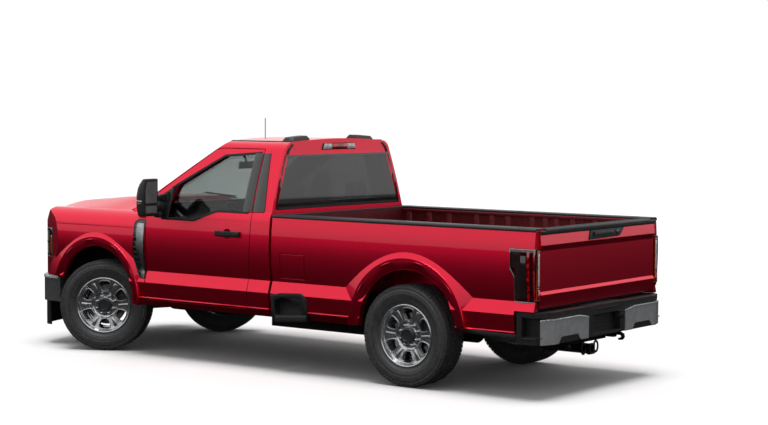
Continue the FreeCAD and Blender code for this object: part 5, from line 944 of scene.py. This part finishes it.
collar = plate(oblong(-0.044, 0.276, 0.044, 0.364), "X", -2.818, 0.032)
cut_out(collar, block((-2.9, -0.0255, 0.2945), (-2.7, 0.0255, 0.3455)))
loops = []
loop_height = 0.33
for y in (-0.1, 0.1):
    loop = torus((-2.79, y, loop_height), (0, math.pi / 2, 0), 0.034, 0.008, 28, 10)
    for corner in loop.data.vertices:
        corner.co.z = loop_height + (corner.co.z - loop_height) * 1.3
    loops.append(loop)
for y in (-0.46, 0.43):
    hook = plate([(-2.72, 0.42), (-2.83, 0.42), (-2.862, 0.405), (-2.868, 0.375), (-2.85, 0.352),
        (-2.818, 0.35), (-2.806, 0.362), (-2.84, 0.376), (-2.838, 0.392), (-2.72, 0.392)], "Y", y, 0.03)
    loops.append(rounded(hook, 5, 2, 40))
    loops.append(rounded(block((-2.78, y - 0.012, 0.372), (-2.62, y + 0.042, 0.452)), 4, 2, 40))
fitted(joined(rounded(collar, 3, 2, 50), *loops), "hitch_fittings", steel)


# Bedside step: a black moulded tread in a pocket behind the cab, low on the left side, and a black
# lip along the foot of each bedside behind the wheel. They are clipped into the sheet steel.
step_outer = [(-0.196, 0.474), (-0.24, 0.424), (-0.592, 0.456), (-0.596, 0.64), (-0.574, 0.688),
    (-0.525, 0.706), (-0.3, 0.694), (-0.196, 0.668)]
step_inner = [(-0.236, 0.51), (-0.256, 0.498), (-0.524, 0.52), (-0.526, 0.65), (-0.51, 0.664),
    (-0.318, 0.656), (-0.238, 0.622)]
step_form = plate(step_outer, "Y", 0.9, 0.114)
for corner in step_form.data.vertices:
    if corner.co.y > 1.0:
        corner.co.y -= 0.022 * max(0, 0.668 - corner.co.z) / 0.25
cut_out(rounded(step_form, 9, 3, 40), plate(step_inner, "Y", 0.925, 0.12))
tread = rounded(plate([(-0.246, 0.428), (-0.246, 0.494), (-0.592, 0.518), (-0.592, 0.46)], "Y", 0.93,
    0.088), 14, 4, 40)
treads = [rounded(plate([(-0.272, 0.5), (-0.272, 0.512), (-0.52, 0.529), (-0.52, 0.517)], "Y", y, 0.007), 2,
    1) for y in (0.936, 0.954, 0.972)]
corner_fill = laid([(-0.312, 0.666), (-0.35, 0.656), (-0.392, 0.648), (-0.534, 0.58), (-0.534, 0.672)],
    "left", ["bedside_left"], 0.003, rise=0.0008, cell=0.05)
step_piece = joined(rounded(step_form, 2, 2, 50), tread, corner_fill, *treads)
fitted(step_piece, "bedside_step", trim)
lip = laid([(-2.16, 0.508), (-2.16, 0.54), (-2.7, 0.524), (-2.7, 0.484)], "left", ["bedside_left"], 0.006,
    edge_mm=3)
pair(lip, "bedside_lip", trim)


# Headlamps: a black bezel round four round lamp pods behind a clear cover, with an amber side
# marker that wraps onto the fender. The housings are moulded, and their pods silvered inside.
front_lamp = ["headlamp_left"]
face_line = oblong(0.652, 0.858, 0.94, 1.11)
bezel = laid(face_line, "front", front_lamp, 0.006, cell=0.05, border=0.016, edge_mm=2)
wedge = laid(oblong(0.655, 0.976, 0.935, 0.992), "front", front_lamp, 0.005, cell=0.05)
side_panel = laid(oblong(2.582, 1.118, 2.664, 0.85), "left", front_lamp + fender, 0.003, cell=0.05)
pair(joined(bezel, wedge, side_panel), "headlamp_bezel", gloss_black)
marker = laid(oblong(2.588, 1.05, 2.616, 0.87), "left", front_lamp + fender, 0.004, rise=0.004, cell=0.05,
    edge_mm=2)
pair(marker, "side_marker", amber)
pods = []
for y, z in ((0.705, 1.046), (0.79, 1.046), (0.705, 0.922), (0.79, 0.922)):
    ring = laid(round_line(y, z, 0.034, 24), "front", front_lamp, 0.006, cell=0.2, border=0.006, edge_mm=2)
    eye = laid(round_line(y, z, 0.024, 24), "front", front_lamp, 0.009, cell=0.2, edge_mm=4)
    pods += [ring, eye]
pair(joined(*pods), "headlamp_pods", chrome)


# Front bumper and grille: the bright beam has a black valance below and a painted highlight along its
# rounded top, and a black mesh stands behind the grille bars. The mesh is moulded in one with its frame.
beam = ["front_bumper"]
# Painted highlight: a near-white strip on the top of each end of the chrome beam.
bumper_top_painted_highlight = laid(oblong(2.5, 0.664, 2.8, 0.64), "left", beam, 0.007, cell=0.05, edge_mm=3)
pair(bumper_top_painted_highlight, "front_bumper_painted_highlight", bright_lens_and_painted_highlight)
valance = laid(oblong(-0.86, 0.424, 0.86, 0.5), "front", beam, 0.006, cell=0.08, edge_mm=2)
fitted(valance, "front_valance", trim)
splash_shield = plate(oblong(0.54, 0.655, 0.9, 0.8), "X", 2.56, 0.006)
pair(rounded(splash_shield, 2), "front_splash_shield", trim)
net = []
for y in [-0.546 + number * 0.039 for number in range(29)]:
    net.append(block((2.8, y - 0.002, 0.75), (2.808, y + 0.002, 1.1)))
for z in [0.765 + number * 0.04 for number in range(9)]:
    net.append(block((2.8, -0.56, z - 0.002), (2.808, 0.56, z + 0.002)))
fitted(joined(*net), "grille_mesh", trim)


# Seats: a bench in three parts, each a foam block in grey woven cloth with
# sewn channels; the outer two have a head restraint on two steel posts.
# The foam puffs the cover, so the faces are crowned and the edges pull in.
def puffed(made, pressure, reach):
    """Swells a closed piece with cloth pressure, and lets no point move further than reach."""
    rest = [corner.co.copy() for corner in made.data.vertices]
    alone(made)
    puff = made.modifiers.new("puff", "CLOTH")
    puff.settings.quality = 4
    puff.settings.use_pressure = True
    puff.settings.uniform_pressure_force = pressure
    puff.settings.effector_weights.gravity = 0
    puff.settings.tension_stiffness = 12
    puff.settings.compression_stiffness = 12
    for number in range(1, 21):
        bpy.context.scene.frame_set(number)
    bpy.ops.object.modifier_apply(modifier=puff.name)
    bpy.context.scene.frame_set(1)
    for corner, place in zip(made.data.vertices, rest):
        moved = corner.co - place
        if moved.length > reach:
            corner.co = place + moved.normalized() * reach
    return made


def cushion(outline, inner, outer, name, channels=()):
    """A padded form from its side outline, as wide as inner to outer, with grooves in it at the channels."""
    waist_pull = 0.01
    seam_depth = 0.009
    made = rounded(plate(outline, "Y", inner, outer - inner), 24, 4)
    refine(made, "REMESH", mode="VOXEL", voxel_size=0.013)
    puffed(made, 4.0, 0.016)
    middle = (inner + outer) / 2
    half = (outer - inner) / 2
    low = min(b for a, b in outline)
    high = max(b for a, b in outline)
    for corner in made.data.vertices:
        across_share = (corner.co.y - middle) / half
        waist_share = max(0, 1 - abs(2 * (corner.co.z - low) / (high - low) - 1))
        corner.co.y -= waist_pull * across_share * waist_share * abs(across_share)
        for place, axis, width in channels:
            away = abs(corner.co[axis] - place) / width
            if away < 1:
                corner.co -= corner.normal * seam_depth * (1 - away) ** 2
    refine(made, "SUBSURF", levels=1, render_levels=1)
    fitted(made, name, cloth, smooth=60)
    return made


bench_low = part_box("bench_seat")[0]
seat_top = 0.985
base_line = [(0.11, 0.8), (0.69, 0.815), (0.704, 0.9), (0.68, 0.968), (0.56, seat_top), (0.2, 0.945),
    (0.11, 0.93)]
back_line = [(0.07, 0.9), (0.205, 0.925), (0.17, 1.1), (0.11, 1.33), (0.07, 1.425), (0.02, 1.44),
    (-0.022, 1.4), (-0.026, 1.25), (0.01, 1.06)]
head_line = [(-0.02, 1.47), (0.058, 1.462), (0.072, 1.52), (0.052, 1.592), (0.002, 1.6), (-0.024, 1.56)]
seats = []
for part, inner, outer in (("left", 0.215, 0.745), ("middle", -0.185, 0.185), ("right", -0.745, -0.215)):
    middle = (inner + outer) / 2
    third = (outer - inner) / 5
    sewn = [(middle - third, 1, 0.016), (middle + third, 1, 0.016)]
    base = cushion(base_line, inner, outer, f"seat_cushion_{part}", sewn)
    back = cushion(back_line, inner, outer, f"seat_back_{part}", sewn)
    seats += [base, back]
    if part != "middle":
        seats.append(cushion(head_line, middle - 0.135, middle + 0.135, f"head_restraint_{part}"))
plinth = rounded(block((0.06, -0.74, bench_low.z + 0.002), (0.66, 0.74, 0.815)), 12, 3)
posts = [plate(round_line(0.018, y, 0.006, 12), "Z", 1.4, 0.1) for y in (-0.535, -0.425, 0.425, 0.535)]
fitted(joined(*posts), "head_restraint_posts", chrome)
fitted(plinth, "seat_plinth", trim)
for made in seats:
    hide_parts("bench_seat")


# Cab: a grained steering wheel with four spokes, a dashboard with a hooded cluster, a
# screen and round vents, and a mirror on the windscreen. All are foam moulded over steel.
steer = next(joint for joint in frame["joints"] if joint["child"] == "steering_wheel")
hub_axis = Vector(steer["axis"]).normalized()
if hub_axis.x > 0:
    hub_axis.negate()
aim = hub_axis.to_track_quat("Z", "Y").to_matrix().to_4x4()
wheel_low, wheel_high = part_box("steering_wheel")
rim_r = (wheel_high.y - wheel_low.y) / 2 - 0.017
centre = Vector(((wheel_low.x + wheel_high.x) / 2 - 0.016, (wheel_low.y + wheel_high.y) / 2,
    (wheel_low.z + wheel_high.z) / 2 + 0.01))
grip_ring = torus((0, 0, 0), (0, 0, 0), rim_r, 0.0155, 56, 14)
spokes = []
for turn in (0, 60, 120, 180):
    arm = rounded(plate([(0.045, -0.024), (rim_r, -0.014), (rim_r, 0.014), (0.045, 0.024)], "Z", -0.01,
        0.014), 4, 2, 40)
    arm.data.transform(Matrix.Rotation(math.radians(turn), 4, "Z"))
    spokes.append(arm)
boss = rounded(plate([(0.078 * math.cos(a * math.pi / 14), 0.07 * math.sin(a * math.pi / 14))
    for a in range(28)], "Z", -0.03, 0.052), 14, 4, 40)
parked_turn = -30
for made in [grip_ring, boss] + spokes:
    made.data.transform(Matrix.Rotation(math.radians(parked_turn), 4, "Z"))
    made.data.transform(Matrix.Translation(centre) @ aim)
wheel = fitted(joined(grip_ring, boss, *spokes), "driver_wheel", trim, "steering_wheel")
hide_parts("steering_wheel")
dash_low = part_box("dashboard")[0]
hood_piece = rounded(plate([(dash_low.x - 0.02, 1.18), (dash_low.x - 0.02, 1.262),
    (dash_low.x + 0.06, 1.296), (dash_low.x + 0.24, 1.29), (dash_low.x + 0.26, 1.2)], "Y", 0.21, 0.38), 16,
    4)
screen = rounded(block((dash_low.x - 0.012, -0.15, 1.11), (dash_low.x + 0.02, 0.16, 1.262)), 6, 3)
vents = []
for y in (-0.74, -0.26, 0.68):
    nozzle = plate(round_line(y, 1.155, 0.045, 24), "X", dash_low.x - 0.01, 0.03)
    vents.append(rounded(nozzle, 6, 2, 40))
fitted(joined(hood_piece, *vents), "dash_details", trim)
fitted(screen, "dash_screen", gloss_black)
inner_mirror = rounded(plate([(-0.125, 1.708), (0.125, 1.708), (0.115, 1.775), (-0.115, 1.775)], "X", 0.93,
    0.022), 8, 3, 40)
stem = plate([(0.945, 1.76), (0.958, 1.76), (1.0, 1.838), (0.985, 1.842)], "Y", -0.01, 0.02)
fitted(joined(inner_mirror, stem), "cab_mirror", trim)


# Load bed: painted a red far darker and duller than the outside; the dark colour is painted shade
# for the hollow of the bed. Its floor and walls are pressed in ribs for stiffness,
# four rings hold the load, and black mouldings are clipped over the rails.
painted_shade_bed_paint = new_finish("red_bed_paint_with_painted_shade", "paint", (30, 3), "#4E0610", "#6A0A18", bumps=(3, 2, 0.03),
    Metallic=0.35, Roughness=0.55)
dress(painted_shade_bed_paint, "bed_floor")
floor_low, floor_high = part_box("bed_floor")
floor_top = 0.812
house_x, house_z, house_radius = -1.638, 0.484, 0.501
ribs = []
for number in range(13):
    y = -0.768 + number * 0.128
    profile = [(y - 0.03, floor_top - 0.002), (y + 0.03, floor_top - 0.002), (y + 0.022, floor_top + 0.009),
        (y - 0.022, floor_top + 0.009)]
    stretches = [(floor_low.x + 0.03, floor_high.x - 0.08)]
    if abs(y) > 0.6:
        stretches = [(floor_low.x + 0.03, house_x - 0.4), (house_x + 0.4, floor_high.x - 0.08)]
    for start, end in stretches:
        ribs.append(rounded(plate(profile, "X", start, end - start), 3))
fitted(joined(*ribs), "bed_floor_ribs", painted_shade_bed_paint)
inner_wall = 0.85
arc = [(house_x + house_radius * math.cos(math.radians(a)),
    house_z + house_radius * math.sin(math.radians(a))) for a in range(42, 139, 8)]
liner = plate([(-2.745, 0.814), (-2.745, 1.344), (-0.262, 1.344), (-0.262, 0.814)] + arc, "Y",
    inner_wall - 0.003, 0.004)
posts = []
for x in (-0.33, -0.56, -0.787, -1.092, -1.258, -1.434, -1.693, -1.831, -1.947, -2.113, -2.34, -2.56):
    foot = max(floor_top, skin(Vector((x, inner_wall - 0.03, 0)), WAYS["top"],
        ["bedside_left", "bed_floor"]).z - 0.002)
    post = plate([(x - 0.034, inner_wall - 0.002), (x - 0.022, inner_wall - 0.016),
        (x + 0.022, inner_wall - 0.016), (x + 0.034, inner_wall - 0.002)], "Z", foot, 1.324 - foot)
    posts.append(rounded(post, 3))
brace = rounded(block((-2.7, inner_wall - 0.011, 1.06), (-0.27, inner_wall - 0.002, 1.086)), 3)
top_turn = rounded(block((-2.76, inner_wall - 0.018, 1.318), (-0.262, inner_wall + 0.001, 1.345)), 5, 3)
pair(joined(liner, brace, top_turn, *posts), "bed_posts", painted_shade_bed_paint)
rings = []
for x in (-0.448, -2.45):
    for z in (0.93, 1.215):
        ring = torus((x, inner_wall - 0.012, z - 0.014), (math.radians(70), 0, 0), 0.02, 0.0045, 20, 8)
        seat = rounded(block((x - 0.022, inner_wall - 0.008, z - 0.006), (x + 0.022, inner_wall + 0.001,
            z + 0.018)), 2)
        rings += [ring, seat]
pair(joined(*rings), "load_rings", steel)
rail_line = [(0.848, 1.35), (0.848, 1.361), (0.856, 1.365), (0.974, 1.365), (0.985, 1.36), (0.99, 1.352),
    (0.99, 1.34), (0.986, 1.337), (0.979, 1.34), (0.976, 1.35)]
rail = plate(rail_line, "X", -2.868, 2.676)
plugs = [rounded(block((x - 0.03, 0.888, 1.36), (x + 0.03, 0.938, 1.368)), 3) for x in (-0.3, -1.52, -2.7)]
pair(joined(rounded(rail, 3), *plugs), "rail_moulding", trim)


# Springs and dampers: a coil of round wire on each front spring seat, straps that clamp the rear leaf springs
# to the axle, and a damper beside each. They are forged and painted black; the damper tubes are grey.
front_low, front_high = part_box("front_axle")
front = Vector(((front_low.x + front_high.x) / 2, 0.512, wheel_radius))
rear = next(Vector(joint["pos_m"]) for joint in frame["joints"] if joint["child"] == "wheel_rear_left")
bpy.ops.object.select_all(action="DESELECT")
bpy.ops.mesh.primitive_circle_add(vertices=10, radius=0.0085, fill_type="NOTHING", location=(0, 0, 0),
    rotation=(math.pi / 2, 0, 0))
wire = settled(bpy.context.object)
for corner in wire.data.vertices:
    corner.co.x += 0.076
refine(wire, "SCREW", axis="Z", angle=2 * math.pi, screw_offset=0.038, iterations=6, steps=20,
    render_steps=20, use_merge_vertices=True)
bpy.ops.object.mode_set(mode="EDIT")
bpy.ops.mesh.select_all(action="SELECT")
bpy.ops.mesh.remove_doubles(threshold=0.0001)
bpy.ops.mesh.fill_holes(sides=12)
bpy.ops.mesh.select_all(action="SELECT")
bpy.ops.mesh.normals_make_consistent(inside=False)
bpy.ops.object.mode_set(mode="OBJECT")
wire.data.transform(Matrix.Translation((front.x, front.y, front.z + 0.075)))


def round_bar(a, b, radius):
    """A round bar between two places."""
    way = b - a
    bpy.ops.mesh.primitive_cylinder_add(vertices=20, radius=radius, depth=way.length)
    made = bpy.context.object
    made.data.transform(Matrix.Translation((a + b) / 2) @ way.to_track_quat("Z", "Y").to_matrix().to_4x4())
    return rounded(made, min(3, radius * 300), 2, 50)


pair(wire, "coil_spring", steel)
dampers = []
for middle, lean, across in ((front, 0.16, 0.455), (rear, 0.22, 0.46)):
    foot = Vector((middle.x + lean * 0.6, across, wheel_radius - 0.02))
    head = Vector((middle.x + lean, across - 0.003, wheel_radius + 0.29))
    knee = foot.lerp(head, 0.55)
    dampers += [round_bar(foot, knee, 0.02), round_bar(knee, head, 0.025)]
pair(joined(*dampers), "dampers", cast)
straps = []
for back, front_end, inner, outer, low, high in ((-0.066, -0.05, 0.49, 0.58, -0.09, 0.15),
        (0.05, 0.066, 0.49, 0.58, -0.09, 0.15), (-0.08, 0.08, 0.486, 0.584, -0.104, -0.088)):
    straps.append(rounded(block((rear.x + back, inner, wheel_radius + low),
        (rear.x + front_end, outer, wheel_radius + high)), 4))
pair(joined(*straps), "spring_straps", steel)


# Wipers: two black arms and blades at the foot of the windscreen, stamped from steel,
# with rubber edges. They are clamped to spindles that come up through the cowl.
screen = ["windscreen", "cowl"]
wipers = []
for start in (-0.56, 0.06):
    wipers.append(laid([(start, 1.392), (start + 0.03, 1.386), (start + 0.33, 1.432),
        (start + 0.326, 1.442)], "front", screen, 0.008, rise=0.01, edge_mm=2))
    wipers.append(laid([(start + 0.06, 1.418), (start + 0.062, 1.404), (start + 0.56, 1.462),
        (start + 0.558, 1.474)], "front", screen, 0.01, rise=0.003, edge_mm=2))
fitted(joined(*wipers), "wipers", trim)
